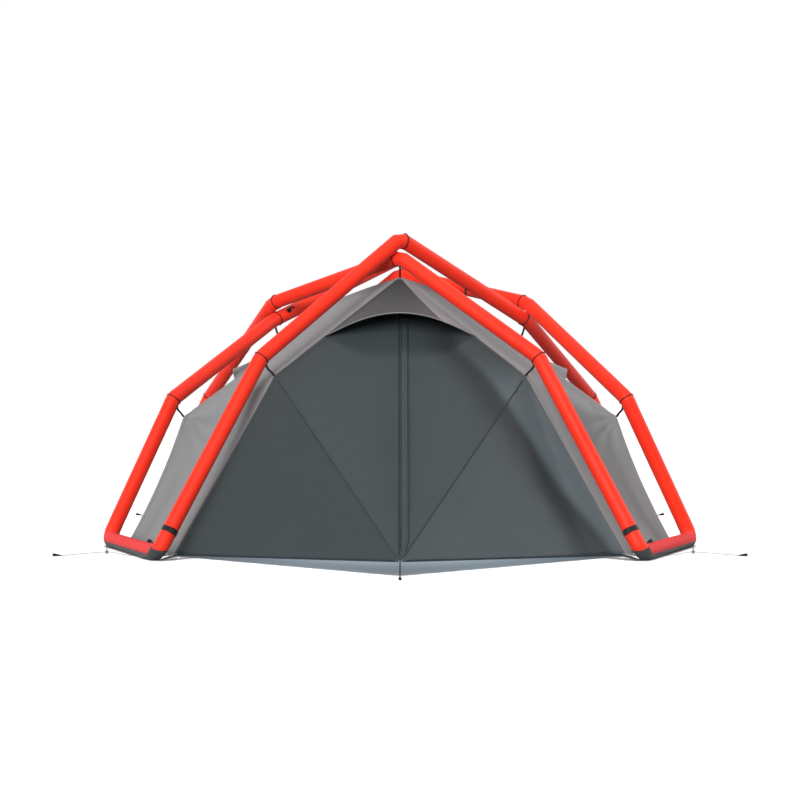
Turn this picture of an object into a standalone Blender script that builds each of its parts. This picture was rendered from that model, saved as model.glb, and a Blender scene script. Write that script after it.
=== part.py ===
"""Inflatable tent: four woven air-tube arches on four ground tubes, with a flysheet hung inside them.

Metres, +Z up, the porch faces -Y. The frame looks the same turned half round about its own centre,
and all of it hangs on one empty that puts the origin at the bottom centre of the tent's box.
"""

import math

import bmesh
import bpy
import numpy as np
from mathutils import Matrix

# Driving dimensions. Frame points are half spacings (across, along) and the height of the tube's axis.
TUBE_R = 0.038
AXIS_DROP = 0.004  # the ground tubes are pressed this much flat on the ground
FRONT_FOOT = (1.138, 1.319)
SIDE_FOOT = (1.497, 0.656)
FRONT_KNEE = (0.685, 0.946, 0.961)
SIDE_KNEE = (1.153, 0.721, 0.756)
END_CROSSING = (0.579, 1.534)  # along, height midway between the two tubes
SIDE_CROSSING = (0.706, 1.234)  # across, height midway between the two tubes
END_WEAVE = 0.0480  # half the height between the two axes at the front and rear crossings
SIDE_WEAVE = 0.0490  # the same at the side crossings
BEND_CUT = 0.028  # how far from a crossing's corner the flattened bend starts
KNEE_CUT = 0.012
FOOT_BEND = 0.047  # radius of the axis in the rounded bend at a foot
FOOT_STEPS = 4
TUBE_SIDES = 18

# Flysheet corners, in the same half spacings, and how far its edges and faces draw in.
CLOTH = 0.0015
FLY_END_PEAK = (0.540, 1.387)  # along, height
FLY_SIDE_PEAK = (0.660, 1.050)  # across, height
FLY_FRONT_KNEE = (0.622, 0.930, 0.870)
FLY_SIDE_KNEE = (1.106, 0.700, 0.662)
FLY_FRONT_FOOT = (1.089, 1.142)
FLY_SIDE_FOOT = (1.410, 0.600)
HEM_LIFT = 0.004
FLY_CENTRE = (0.0, 0.0, 0.35)  # cloth draws in towards this point
WALL_EDGE_SAG = 0.020
FRONT_EDGE_SAG = 0.003  # the front and rear corners' seams are pulled nearly straight
EAVE_SAG = 0.012
ROOF_LIFT = 0.065  # how far a strap lifts the middle of each roof seam
ROOF_CREST = 1.3  # 1 gives a sharp crest there, 2 a round one
HEM_SAG = 0.020
WALL_BELLY = 0.040
ROOF_BELLY = 0.030
ROOF_TRIM = 0.0008
SEAM_TRIM = 0.0016  # each panel stops this short of a seam, which keeps their inner faces apart

# Porch
PORCH_TIP = (0.0, -1.890, 0.060)  # the hem's middle, pulled forward and off the ground
LEAF_SAG = 0.022
LEAF_FROM, LEAF_TO = 0.0010, 0.992  # shares of the way from the fly's edge to the tip
FLAP_WIDTH = 0.042
FLAP_OVERLAP = 0.06  # share of its width where its sewn edge starts, clear of the other leaf
FLAP_TIP_WIDTH = 0.25  # share of its width left at the hem
FLAP_TAPER = 12.0  # how fast it widens from there
FLAP_FROM, FLAP_TO = 0.17, 0.985  # shares of the way down the zip
FLAP_RISE = 0.0012

# Hoods: share of the fly edge they reach down, and where the hem's middle stands outside the fly.
FRONT_HOOD = {"reach": 0.62, "down_zip": 0.145, "out": (0.0, -0.232, -0.020)}
SIDE_HOOD = {"reach": 0.50, "out": (0.040, 0.0, 0.058)}
HOOD_RISE = 0.0006
HOOD_START = 0.04  # share of the reach where the cloth starts, below the seams' meeting point
HOOD_SWELL = 1.4  # how late the belly comes on the way down
HOOD_ARCH = 1.2  # over 1 draws the arch of the hem in towards its ends

# Webbing, valves and guys
STRAP = (0.011, 0.0018)
STRAP_GAPS = {"end_knee": 0.0009, "side_knee": 0.0004, "crossing": 0.0004, "roof": 0.0011}
STRAP_BOW = 0.10
BAND_AT = 0.120  # along the leg from the foot
BAND_WIDTH = 0.026
BAND_THICK = 0.0018
BAND_STEPS = 40
BUCKLE = {"across": 0.034, "rise": 0.007, "inward": 0.45}
VALVE_R = 0.013
VALVE_H = 0.017
VALVE_SIDES = 16
VALVE_AT = {"foot": 0.25, "crossing_left": 0.10}  # shares of the tube's run
LEASH_R = 0.0026
LEASH_LENGTH = {"foot": 0.052, "crossing_left": 0.034}
LEASH_BOW = 0.012
LEASH_FROM = 0.64  # share of the valve's height where the leash leaves it
GUY_R = 0.0014
GUY_DROOP = 0.003
GUY_LEAVES = {"from_foot": 0.075, "height": 0.014}
JUNCTION = (1.432, 1.035)
JUNCTION_Z = 0.009
TIE_CLEAR = 0.0006  # a guy stops this far off the peg's thin end
PORCH_GUY_START = (0.0, 0.0077, 0.0113)  # from the tip: where the strap leaves the end of the zip
PORCH_GUY_R = 0.0030
PORCH_TIE = (0.0, 0.0006, 0.0015)  # from where a thin guy would tie
PEG = (1.634, 1.122)
PORCH_PEG = (0.0, -1.990)
PEG_LENGTH = 0.042
PEG_PROFILE = ((0.0, 0.0024), (0.3, 0.0040), (0.7, 0.0066), (0.92, 0.0076), (1.0, 0.0062))  # (share, radius)
PEG_SIDES = 12
GAP = 0.0003

ORIGIN_Y = 0.27055  # moves the frame's centre back so that the origin is the box's bottom centre

RED = (0.86, 0.045, 0.018, 1.0)
GROUND_RED = (0.80, 0.060, 0.050, 1.0)
LIGHT_GREY = (0.33, 0.33, 0.34, 1.0)
SLATE = (0.072, 0.090, 0.098, 1.0)
HOOD_GREY = (0.110, 0.120, 0.128, 1.0)
BLACK = (0.020, 0.021, 0.022, 1.0)
PALE_CORD = (0.55, 0.55, 0.54, 1.0)

LEFT, RIGHT = -1, 1
FRONT, REAR = -1, 1
UP = np.array([0.0, 0.0, 1.0])


def clear_scene():
    for obj in list(bpy.data.objects):
        bpy.data.objects.remove(obj, do_unlink=True)


def collection(name):
    made = bpy.data.collections.new(name)
    bpy.context.scene.collection.children.link(made)
    return made


def material(name, color, roughness, metallic=0.0):
    made = bpy.data.materials.new(name)
    made.use_nodes = True
    shader = made.node_tree.nodes["Principled BSDF"]
    shader.inputs["Base Color"].default_value = color
    shader.inputs["Roughness"].default_value = roughness
    shader.inputs["Metallic"].default_value = metallic
    return made


def unit(vector):
    vector = np.asarray(vector, float)
    return vector / np.linalg.norm(vector)


def add_object(name, mesh, finish, smooth_angle=40.0):
    """Puts a mesh in the tent's collection, under the tent's empty, with its own material."""
    mesh.materials.append(material(name + "_finish", *finish))
    mesh.shade_smooth()
    mesh.set_sharp_from_angle(angle=math.radians(smooth_angle))
    obj = bpy.data.objects.new(name, mesh)
    TENT.objects.link(obj)
    obj.parent = ORIGIN
    return obj


def mesh_from_bmesh(name, bm):
    bmesh.ops.recalc_face_normals(bm, faces=bm.faces)
    mesh = bpy.data.meshes.new(name)
    bm.to_mesh(mesh)
    bm.free()
    return mesh


def loft(name, rings, closed_path=False):
    """A closed solid through rings of equally many points, its ends capped unless the path closes."""
    bm = bmesh.new()
    rows = [[bm.verts.new(point) for point in ring] for ring in rings]
    count = len(rows[0])
    pairs = list(zip(rows, rows[1:]))
    if closed_path:
        pairs.append((rows[-1], rows[0]))
    for lower, upper in pairs:
        for i in range(count):
            j = (i + 1) % count
            bm.faces.new((lower[i], lower[j], upper[j], upper[i]))
    if not closed_path:
        bm.faces.new(rows[0][::-1])
        bm.faces.new(rows[-1])
    return mesh_from_bmesh(name, bm)


# ---------------------------------------------------------------- frame points


def frame_points():
    """The axis point of every foot, knee and crossing, named by arch."""
    axis_z = TUBE_R - AXIS_DROP
    points = {}
    for row, along in (("front", FRONT), ("rear", REAR)):
        for side, across in (("left", LEFT), ("right", RIGHT)):
            x, y = FRONT_FOOT
            points["end_foot", row, side] = (across * x, along * y, axis_z)
            x, y = SIDE_FOOT
            points["side_foot", row, side] = (across * x, along * y, axis_z)
            x, y, z = FRONT_KNEE
            points["end_knee", row, side] = (across * x, along * y, z)
            x, y, z = SIDE_KNEE
            points["side_knee", row, side] = (across * x, along * y, z)
        y, z = END_CROSSING
        points["over", row] = (0.0, along * y, z + END_WEAVE)
        points["under", row] = (0.0, along * y, z - END_WEAVE)
    for side, across in (("left", LEFT), ("right", RIGHT)):
        x, z = SIDE_CROSSING
        points["over", side] = (across * x, 0.0, z + SIDE_WEAVE)
        points["under", side] = (across * x, 0.0, z - SIDE_WEAVE)
    return {key: np.array(value) for key, value in points.items()}


# Each arch goes over one tube and under the next: (first row, first side, first crossing, second crossing).
ARCHES = {
    "a": (("front", "left"), ("over", "front"), ("under", "right"), ("rear", "right")),
    "b": (("front", "right"), ("under", "front"), ("over", "left"), ("rear", "left")),
    "c": (("rear", "right"), ("over", "rear"), ("under", "left"), ("front", "left")),
    "d": (("rear", "left"), ("under", "rear"), ("over", "right"), ("front", "right")),
}


def cut_corner(before, corner, after, cut):
    """The two points where a flattened bend leaves its straight runs, with the bend's middle between."""
    start = corner + unit(before - corner) * cut
    end = corner + unit(after - corner) * cut
    return [start, (start + end) / 2, end]


def round_corner(before, corner, after, radius, steps):
    """Points of a circular bend between the two runs that meet at a corner."""
    arrive, leave = unit(corner - before), unit(after - corner)
    turn = math.acos(float(arrive @ leave))
    start = corner - arrive * radius * math.tan(turn / 2)
    side = unit(leave - arrive * math.cos(turn))
    angles = [turn * k / steps for k in range(steps + 1)]
    return [start + radius * (arrive * math.sin(a) + side * (1 - math.cos(a))) for a in angles]


def tube_rings(path, first_normal=None, last_normal=None, radius=TUBE_R, sides=TUBE_SIDES, squash=True):
    """One ring a path point, on the plane that halves the bend there: straight runs keep their width."""
    runs = [unit(b - a) for a, b in zip(path, path[1:])]
    across = unit(np.cross(runs[0], (0.0, 0.0, 1.0)))
    rings = []
    for i, point in enumerate(path):
        run = runs[min(i, len(runs) - 1)]
        if i and i < len(runs):
            turn = np.cross(runs[i - 1], run)
            sine = np.linalg.norm(turn)
            if sine > 1e-9:
                across = rotate(across, turn / sine, math.atan2(sine, float(runs[i - 1] @ run)))
        plane = unit(runs[max(i - 1, 0)] + run)
        if i == 0 and first_normal is not None:
            plane = first_normal
        if i == len(path) - 1 and last_normal is not None:
            plane = last_normal
        up = np.cross(run, across)
        ring = []
        for k in range(sides):
            angle = 2 * math.pi * (k + 0.5) / sides
            arm = radius * (math.cos(angle) * across + math.sin(angle) * up)
            arm = arm - run * float(arm @ plane) / float(run @ plane)
            spot = point + arm
            if squash and spot[2] < 0:
                uphill = np.array((0.0, 0.0, 1.0)) - plane * plane[2]
                spot = spot - uphill * spot[2] / uphill[2]
            ring.append(spot)
        rings.append(ring)
    return rings


def rotate(vector, axis, angle):
    """Rodrigues' rotation of a vector about a unit axis."""
    cosine, sine = math.cos(angle), math.sin(angle)
    return vector * cosine + np.cross(axis, vector) * sine + axis * float(axis @ vector) * (1 - cosine)


def shortened(path):
    """The path with its two end points drawn back by half the gap between neighbouring sleeves."""
    path = [np.array(p) for p in path]
    path[0] = path[0] + unit(path[1] - path[0]) * GAP / 2
    path[-1] = path[-1] + unit(path[-2] - path[-1]) * GAP / 2
    return path


def foot_keys(row_side):
    """The foot and knee at one end of an arch: it starts at an end knee and finishes at a side knee."""
    return ("end_foot",) + row_side, ("end_knee",) + row_side


def side_keys(row_side):
    return ("side_foot",) + row_side, ("side_knee",) + row_side


def foot_bend(points, foot, knee):
    """The round bend from the leg down into the ground tube, as one list from the leg to the ground."""
    kind, row, side = foot
    other = "side_foot" if kind == "end_foot" else "end_foot"
    return round_corner(points[knee], points[foot], points[other, row, side], FOOT_BEND, FOOT_STEPS)


def bend_normal(bend):
    """The way a foot bend runs at its middle, where the leg's sleeve is sewn to the ground tube's."""
    half = FOOT_STEPS // 2
    return unit(bend[half + 1] - bend[half - 1])


def arch_axes(points, arch):
    """The axis of an arch's three sleeves: name to (path, normal of the mitre at its foot)."""
    half = FOOT_STEPS // 2
    first, crossing_1, crossing_2, last = ARCHES[arch]
    foot_1, knee_1 = foot_keys(first)
    foot_2, knee_2 = side_keys(last)
    bend_1 = foot_bend(points, foot_1, knee_1)
    bend_2 = foot_bend(points, foot_2, knee_2)
    knee_bend_1 = cut_corner(points[foot_1], points[knee_1], points[crossing_1], KNEE_CUT)
    knee_bend_2 = cut_corner(points[crossing_2], points[knee_2], points[foot_2], KNEE_CUT)
    top_1 = cut_corner(points[knee_1], points[crossing_1], points[crossing_2], BEND_CUT)
    top_2 = cut_corner(points[crossing_1], points[crossing_2], points[knee_2], BEND_CUT)
    return {
        "leg_" + "_".join(first): (bend_1[half::-1] + knee_bend_1[:2], -bend_normal(bend_1)),
        "span": (knee_bend_1[1:] + top_1 + top_2 + knee_bend_2[:2], None),
        "leg_" + "_".join(last): (bend_2[half::-1] + knee_bend_2[:0:-1], -bend_normal(bend_2)),
    }


def build_frame(points):
    half = FOOT_STEPS // 2
    for arch in ARCHES:
        for piece, (path, foot_normal) in arch_axes(points, arch).items():
            name = f"arch_{arch}_{piece}"
            rings = tube_rings(shortened(path), first_normal=foot_normal)
            add_object(name, loft(name, rings), (RED, 0.42))
    for row in ("front", "rear"):
        for side in ("left", "right"):
            end = foot_bend(points, ("end_foot", row, side), ("end_knee", row, side))
            far = foot_bend(points, ("side_foot", row, side), ("side_knee", row, side))
            path = shortened(end[half:] + far[half:][::-1])
            name = f"ground_tube_{row}_{side}"
            rings = tube_rings(path, bend_normal(end), -bend_normal(far))
            add_object(name, loft(name, rings), (GROUND_RED, 0.5))


# ---------------------------------------------------------------- flysheet


def fly_points():
    points = {}
    for row, along in (("front", FRONT), ("rear", REAR)):
        for side, across in (("left", LEFT), ("right", RIGHT)):
            x, y, z = FLY_FRONT_KNEE
            points["end_knee", row, side] = (across * x, along * y, z)
            x, y, z = FLY_SIDE_KNEE
            points["side_knee", row, side] = (across * x, along * y, z)
            x, y = FLY_FRONT_FOOT
            points["end_foot", row, side] = (across * x, along * y, HEM_LIFT)
            x, y = FLY_SIDE_FOOT
            points["side_foot", row, side] = (across * x, along * y, HEM_LIFT)
        y, z = FLY_END_PEAK
        points["peak", row] = (0.0, along * y, z)
    for side, across in (("left", LEFT), ("right", RIGHT)):
        x, z = FLY_SIDE_PEAK
        points["peak", side] = (across * x, 0.0, z)
    return {key: np.array(value) for key, value in points.items()}


def inward(point, level=False):
    way = np.array(FLY_CENTRE) - point
    if level:
        way[2] = 0.0
    return unit(way)


def fly_edge(start, end, sag, level=False):
    """A seam or hem between two corners, drawn in by sag at its middle."""
    way = inward((start + end) / 2, level)
    return lambda t: (1 - t) * start + t * end + way * sag * 4 * t * (1 - t)


def roof_seam(start, end):
    """The seam between two crossings, lifted at its middle by the strap that hangs from the tube above."""
    way = inward((start + end) / 2)
    return lambda t: (1 - t) * start + t * end - way * ROOF_LIFT * (1 - abs(2 * t - 1) ** ROOF_CREST)


def patch(low, high, left, right, belly, across, up, trim, width):
    """A sheet between four edges. Low and high run the same way, left and right run from low to high.

    trim holds how far the sheet stops short of (left, right, low, high), in metres, where it is width wide.
    """
    corners = low(0), low(1), high(0), high(1)
    rise = max(np.linalg.norm(left(1) - left(0)), np.linalg.norm(right(1) - right(0)))
    us = np.linspace(trim[0] / width, 1 - trim[1] / width, across + 1)
    vs = np.linspace(trim[2] / rise, 1 - trim[3] / rise, up + 1)
    way = inward(sum(corners) / 4)
    rows = []
    for v in vs:
        row = []
        for u in us:
            ruled = (1 - v) * low(u) + v * high(u) + (1 - u) * left(v) + u * right(v)
            flat = (1 - v) * ((1 - u) * corners[0] + u * corners[1])
            flat = flat + v * ((1 - u) * corners[2] + u * corners[3])
            row.append(ruled - flat + way * belly * 16 * u * (1 - u) * v * (1 - v))
        rows.append(row)
    return rows


def sheet_object(name, grids, finish, outside, thickness=CLOTH, offset=-1.0):
    """Joins grids that share an edge into one sheet, turned to face outside, with Solidify's thickness."""
    bm = bmesh.new()
    for rows in grids:
        verts = [[bm.verts.new(point) for point in row] for row in rows]
        for lower, upper in zip(verts, verts[1:]):
            for i in range(len(lower) - 1):
                bm.faces.new((lower[i], lower[i + 1], upper[i + 1], upper[i]))
    bmesh.ops.remove_doubles(bm, verts=bm.verts, dist=1e-5)
    bmesh.ops.recalc_face_normals(bm, faces=bm.faces)
    facing = sum((np.array(f.normal) * f.calc_area() for f in bm.faces), np.zeros(3))
    if float(facing @ np.asarray(outside)) < 0:
        bmesh.ops.reverse_faces(bm, faces=bm.faces)
    mesh = bpy.data.meshes.new(name)
    bm.to_mesh(mesh)
    bm.free()
    obj = add_object(name, mesh, finish, smooth_angle=35.0)
    shell = obj.modifiers.new("cloth", "SOLIDIFY")
    shell.thickness = thickness
    shell.offset = offset
    return obj


def build_fly(fly):
    finish = (LIGHT_GREY, 0.75)
    trim = SEAM_TRIM
    for row in ("front", "rear"):
        for side in ("left", "right"):
            end_foot, side_foot = fly["end_foot", row, side], fly["side_foot", row, side]
            end_knee, side_knee = fly["end_knee", row, side], fly["side_knee", row, side]
            hem = fly_edge(end_foot, side_foot, HEM_SAG, level=True)
            eave = fly_edge(end_knee, side_knee, EAVE_SAG)
            top = roof_seam(fly["peak", row], fly["peak", side])
            wall = patch(
                hem,
                eave,
                fly_edge(end_foot, end_knee, FRONT_EDGE_SAG),
                fly_edge(side_foot, side_knee, WALL_EDGE_SAG),
                WALL_BELLY,
                8,
                7,
                (trim, trim, 0.0, 0.0),
                np.linalg.norm(end_knee - side_knee),
            )
            roof = patch(
                eave,
                top,
                fly_edge(end_knee, fly["peak", row], 0.0),
                fly_edge(side_knee, fly["peak", side], 0.0),
                ROOF_BELLY,
                8,
                7,
                (trim, trim, 0.0, trim),
                np.linalg.norm(end_knee - side_knee),
            )
            outside = (end_knee + side_knee) * (1, 1, 0)
            sheet_object(f"fly_corner_{row}_{side}", [wall, roof], finish, outside)
    for side, across in (("left", LEFT), ("right", RIGHT)):
        grids = gable(fly, [("side_foot", row, side) for row in ("front", "rear")], ("peak", side))
        sheet_object(f"fly_side_{side}", grids, finish, (across, 0, 0))
    grids = gable(fly, [("end_foot", "rear", side) for side in ("left", "right")], ("peak", "rear"))
    sheet_object("fly_rear", grids, finish, (0, 1, 0))
    roof = patch(
        roof_seam(fly["peak", "front"], fly["peak", "left"]),
        roof_seam(fly["peak", "right"], fly["peak", "rear"]),
        roof_seam(fly["peak", "front"], fly["peak", "right"]),
        roof_seam(fly["peak", "left"], fly["peak", "rear"]),
        ROOF_BELLY,
        8,
        8,
        (ROOF_TRIM,) * 4,
        np.linalg.norm(fly["peak", "front"] - fly["peak", "left"]),
    )
    sheet_object("fly_roof", [roof], finish, (0, 0, 1))


def gable(fly, feet, peak):
    """A wall between two feet and two knees, with the triangle above it up to a peak."""
    trim = SEAM_TRIM
    low = [fly[foot] for foot in feet]
    knee = [fly[(foot[0].replace("foot", "knee"),) + foot[1:]] for foot in feet]
    edge_sag = WALL_EDGE_SAG if feet[0][0] == "side_foot" else FRONT_EDGE_SAG
    eave = fly_edge(knee[0], knee[1], EAVE_SAG)
    wall = patch(
        fly_edge(low[0], low[1], HEM_SAG, level=True),
        eave,
        fly_edge(low[0], knee[0], edge_sag),
        fly_edge(low[1], knee[1], edge_sag),
        WALL_BELLY,
        8,
        7,
        (trim, trim, 0.0, 0.0),
        np.linalg.norm(knee[0] - knee[1]),
    )
    top = fly[peak]
    triangle = patch(
        eave,
        lambda t: top,
        fly_edge(knee[0], top, 0.0),
        fly_edge(knee[1], top, 0.0),
        ROOF_BELLY,
        8,
        6,
        (trim, trim, 0.0, 0.012),
        np.linalg.norm(knee[0] - knee[1]),
    )
    return [wall, triangle]


# ---------------------------------------------------------------- porch


def leaf_point(fly, side, along, down):
    """A porch leaf's point: along goes peak, knee, foot as 0, 1, 2; down goes from that edge to the tip."""
    stops = [fly["peak", "front"], fly["end_knee", "front", side], fly["end_foot", "front", side]]
    first = min(int(along), 1)
    share = along - first
    edge = fly_edge(stops[first], stops[first + 1], FRONT_EDGE_SAG if first else 0.0)(share)
    tip = np.array(PORCH_TIP)
    flat = (1 - down) * edge + down * tip
    normal = unit(np.cross(stops[first + 1] - stops[first], tip - stops[first]))
    if normal[1] < 0:
        normal = -normal
    return flat + normal * LEAF_SAG * math.sin(math.pi * share) * math.sin(math.pi * down) ** 2


def build_porch(fly):
    finish = (SLATE, 0.65)
    for side, across in (("left", LEFT), ("right", RIGHT)):
        rows = []
        edge_trim = 2 * SEAM_TRIM
        for down in np.linspace(LEAF_FROM, LEAF_TO, 9):
            row = []
            for along in np.linspace(0.0, 2.0, 15):
                row.append(leaf_point(fly, side, along, down))
            row[0] = row[0] + np.array([across * edge_trim, 0.0, 0.0])
            rows.append(row)
        sheet_object(f"door_{side}", [rows], finish, (0, -1, 0))
    build_flap(fly)


def build_flap(fly):
    """The flap over the zip: a strip that lies on the right leaf, sewn down beside the seam."""
    zip_top, tip = fly["peak", "front"], np.array(PORCH_TIP)
    knee = fly["end_knee", "front", "right"]
    normal = unit(np.cross(knee - zip_top, tip - zip_top))
    if normal[1] > 0:
        normal = -normal
    sideways = unit(np.cross(tip - zip_top, normal))
    if sideways[0] < 0:
        sideways = -sideways
    rows = []
    for share in np.linspace(FLAP_FROM, FLAP_TO, 13):
        spine = (1 - share) * zip_top + share * tip + normal * FLAP_RISE
        width = FLAP_WIDTH * min(1.0, FLAP_TAPER * (1.0 - share) + FLAP_TIP_WIDTH)
        rows.append([spine + sideways * width * t for t in (FLAP_OVERLAP, 0.5, 1.0)])
    sheet_object("door_zip_flap", [rows], (SLATE, 0.6), (0, -1, 0), offset=1.0)


def hood_rows(peak, left_end, right_end, middle, lift, across=8, up=6):
    """A hood from its peak down two fly edges, bellied out to an arched hem. lift keeps it off the fly."""
    rows = []
    for v in np.linspace(HOOD_START, 1.0, up + 1):
        start, end = peak + (left_end - peak) * v, peak + (right_end - peak) * v
        centre = (start + end) / 2
        bow = (middle - (left_end + right_end) / 2) * v**HOOD_SWELL
        row = []
        for u in np.linspace(0.0, 1.0, across + 1):
            arch = 4 * u * (1 - u)
            row.append((1 - u) * start + u * end + bow * arch**HOOD_ARCH + lift)
        rows.append(row)
    return rows


def build_hoods(fly):
    peak = fly["peak", "front"]
    ends = [peak + (fly["end_knee", "front", s] - peak) * FRONT_HOOD["reach"] for s in ("left", "right")]
    tip = np.array(PORCH_TIP)
    middle = peak + (tip - peak) * FRONT_HOOD["down_zip"] + np.array(FRONT_HOOD["out"])
    lift = np.array([0.0, -HOOD_RISE, HOOD_RISE])
    rows = hood_rows(peak, ends[0], ends[1], middle, lift)
    sheet_object("hood_front", [rows], (HOOD_GREY, 0.7), (0, -1, 1), offset=1.0)
    for side, across in (("left", LEFT), ("right", RIGHT)):
        peak = fly["peak", side]
        knees = [fly["side_knee", row, side] for row in ("front", "rear")]
        ends = [peak + (knee - peak) * SIDE_HOOD["reach"] for knee in knees]
        out = np.array(SIDE_HOOD["out"]) * (across, 1, 1)
        middle = (ends[0] + ends[1]) / 2 + out
        lift = np.array([across * HOOD_RISE, 0.0, HOOD_RISE])
        rows = hood_rows(peak, ends[0], ends[1], middle, lift)
        sheet_object(f"hood_{side}", [rows], (LIGHT_GREY, 0.75), (across, 0, 1), offset=1.0)


# ---------------------------------------------------------------- webbing


def ribbon_rings(path, width, thickness, face):
    """Sections of a flat webbing strap along a path, its broad side towards face."""
    runs = [unit(b - a) for a, b in zip(path, path[1:])]
    runs = [runs[0]] + [unit(a + b) for a, b in zip(runs, runs[1:])] + [runs[-1]]
    rings = []
    for point, run in zip(path, runs):
        wide = unit(np.cross(run, face))
        thick = np.cross(wide, run)
        corners = ((-1, -1), (1, -1), (1, 1), (-1, 1))
        rings.append([point + wide * width / 2 * a + thick * thickness / 2 * b for a, b in corners])
    return rings


def bowed(start, end, bow, steps):
    """Points of a shallow curve from start to end that bows sideways by bow at its middle."""
    shares = np.linspace(0, 1, steps + 1)
    return [(1 - t) * start + t * end + bow * 4 * t * (1 - t) for t in shares]


def run_distance(point, start, end):
    """How far a point is from the straight run between two axis points."""
    along = end - start
    share = min(1.0, max(0.0, float((point - start) @ along) / float(along @ along)))
    return float(np.linalg.norm(point - start - along * share))


def strap_rings(axis_point, corner, gap, runs):
    """A strap from the cloth of the tubes whose axes are in runs to a corner of the fly."""
    way = unit(corner - axis_point)
    end = corner - way * gap
    outward = unit(corner * (1, 1, 0))
    face = np.cross(np.cross(way, outward), way)
    reach = TUBE_R
    while True:
        start = axis_point + way * reach
        bow = outward * STRAP_BOW * np.linalg.norm(end - start)
        rings = ribbon_rings(bowed(start, end, bow, 5), *STRAP, face)
        corners = [spot for ring in rings for spot in ring]
        if min(run_distance(spot, *run) for spot in corners for run in runs) > TUBE_R + GAP:
            return rings
        reach += GAP / 2


def arch_runs(points):
    """Every straight run of every arch's axis."""
    paths = [path for arch in ARCHES for path, _ in arch_axes(points, arch).values()]
    return [run for path in paths for run in zip(path, path[1:])]


def build_straps(points, fly):
    """A strap from each knee and crossing down to the corner of the fly that hangs there.

    One more hangs from the middle of the run over the right front of the roof.
    """
    jobs = []
    runs = arch_runs(points)
    for row in ("front", "rear"):
        for side in ("left", "right"):
            for kind in ("end_knee", "side_knee"):
                jobs.append((kind, kind, (row, side), fly[kind, row, side]))
    for spot in ("front", "rear", "left", "right"):
        jobs.append(("crossing", "under", (spot,), fly["peak", spot]))
    jobs = [(label, where, points[(kind, *where)], corner) for label, kind, where, corner in jobs]
    crest = roof_seam(fly["peak", "front"], fly["peak", "right"])(0.5)
    middle = (points["over", "front"] + points["under", "right"]) / 2
    jobs.append(("roof", ("front", "right"), middle, crest))
    for label, where, axis_point, corner in jobs:
        name = "_".join(("strap", label, *where))
        rings = strap_rings(axis_point, corner, STRAP_GAPS[label], runs)
        add_object(name, loft(name, rings), (BLACK, 0.6))


def build_bands(points):
    """The webbing bands round the front legs, each one ring that thickens into its buckle."""
    for side in ("left", "right"):
        foot, knee = points["end_foot", "front", side], points["end_knee", "front", side]
        run = unit(knee - foot)
        centre = foot + run * BAND_AT
        across = unit(np.cross(run, (0.0, 0.0, 1.0)))
        up = np.cross(run, across)
        inner = (TUBE_R + GAP) / math.cos(math.pi / BAND_STEPS)
        rings = []
        towards = np.array([-math.copysign(BUCKLE["inward"], foot[0]), -1.0, 0.0])
        facing = math.atan2(float(towards @ up), float(towards @ across))
        half_turn = BUCKLE["across"] / 2 / inner
        for k in range(BAND_STEPS):
            angle = 2 * math.pi * k / BAND_STEPS
            away = abs((angle - facing + math.pi) % (2 * math.pi) - math.pi)
            rise = BUCKLE["rise"] if away < half_turn else 0.0
            arm = math.cos(angle) * across + math.sin(angle) * up
            near, far = inner, inner + BAND_THICK + rise
            low, high = -BAND_WIDTH / 2, BAND_WIDTH / 2
            ring = [(near, low), (far, low), (far, high), (near, high)]
            rings.append([centre + arm * r + run * h for r, h in ring])
        name = f"leg_band_{side}"
        add_object(name, loft(name, rings, closed_path=True), (BLACK, 0.55))


# ---------------------------------------------------------------- valves


def turned(name, profile, sides):
    """A solid turned about +Z from (radius, height) pairs that run down its outer side."""
    mesh = bpy.data.meshes.new(name)
    edges = [(i, i + 1) for i in range(len(profile) - 1)]
    mesh.from_pydata([(r, 0.0, z) for r, z in profile], edges, [])
    obj = bpy.data.objects.new(name, mesh)
    turn = obj.modifiers.new("turn", "SCREW")
    turn.steps = sides
    turn.render_steps = sides
    turn.use_merge_vertices = True
    turn.merge_threshold = 0.0001
    return obj


def place(obj, spot, upright, turn_to):
    """Stands an object with its +Z along upright and its +X towards turn_to."""
    z_axis = unit(upright)
    y_axis = unit(np.cross(z_axis, turn_to))
    x_axis = np.cross(y_axis, z_axis)
    matrix = Matrix.Translation(spot)
    for row in range(3):
        matrix[row][:3] = x_axis[row], y_axis[row], z_axis[row]
    obj.matrix_local = matrix


def valve_profile():
    r, h = VALVE_R, VALVE_H
    return [
        (0.0, h),
        (0.62 * r, h),
        (0.74 * r, 0.92 * h),
        (0.74 * r, 0.50 * h),
        (0.66 * r, 0.46 * h),
        (0.66 * r, 0.30 * h),
        (r, 0.24 * h),
        (r, 0.0),
        (0.0, 0.0),
    ]


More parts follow.
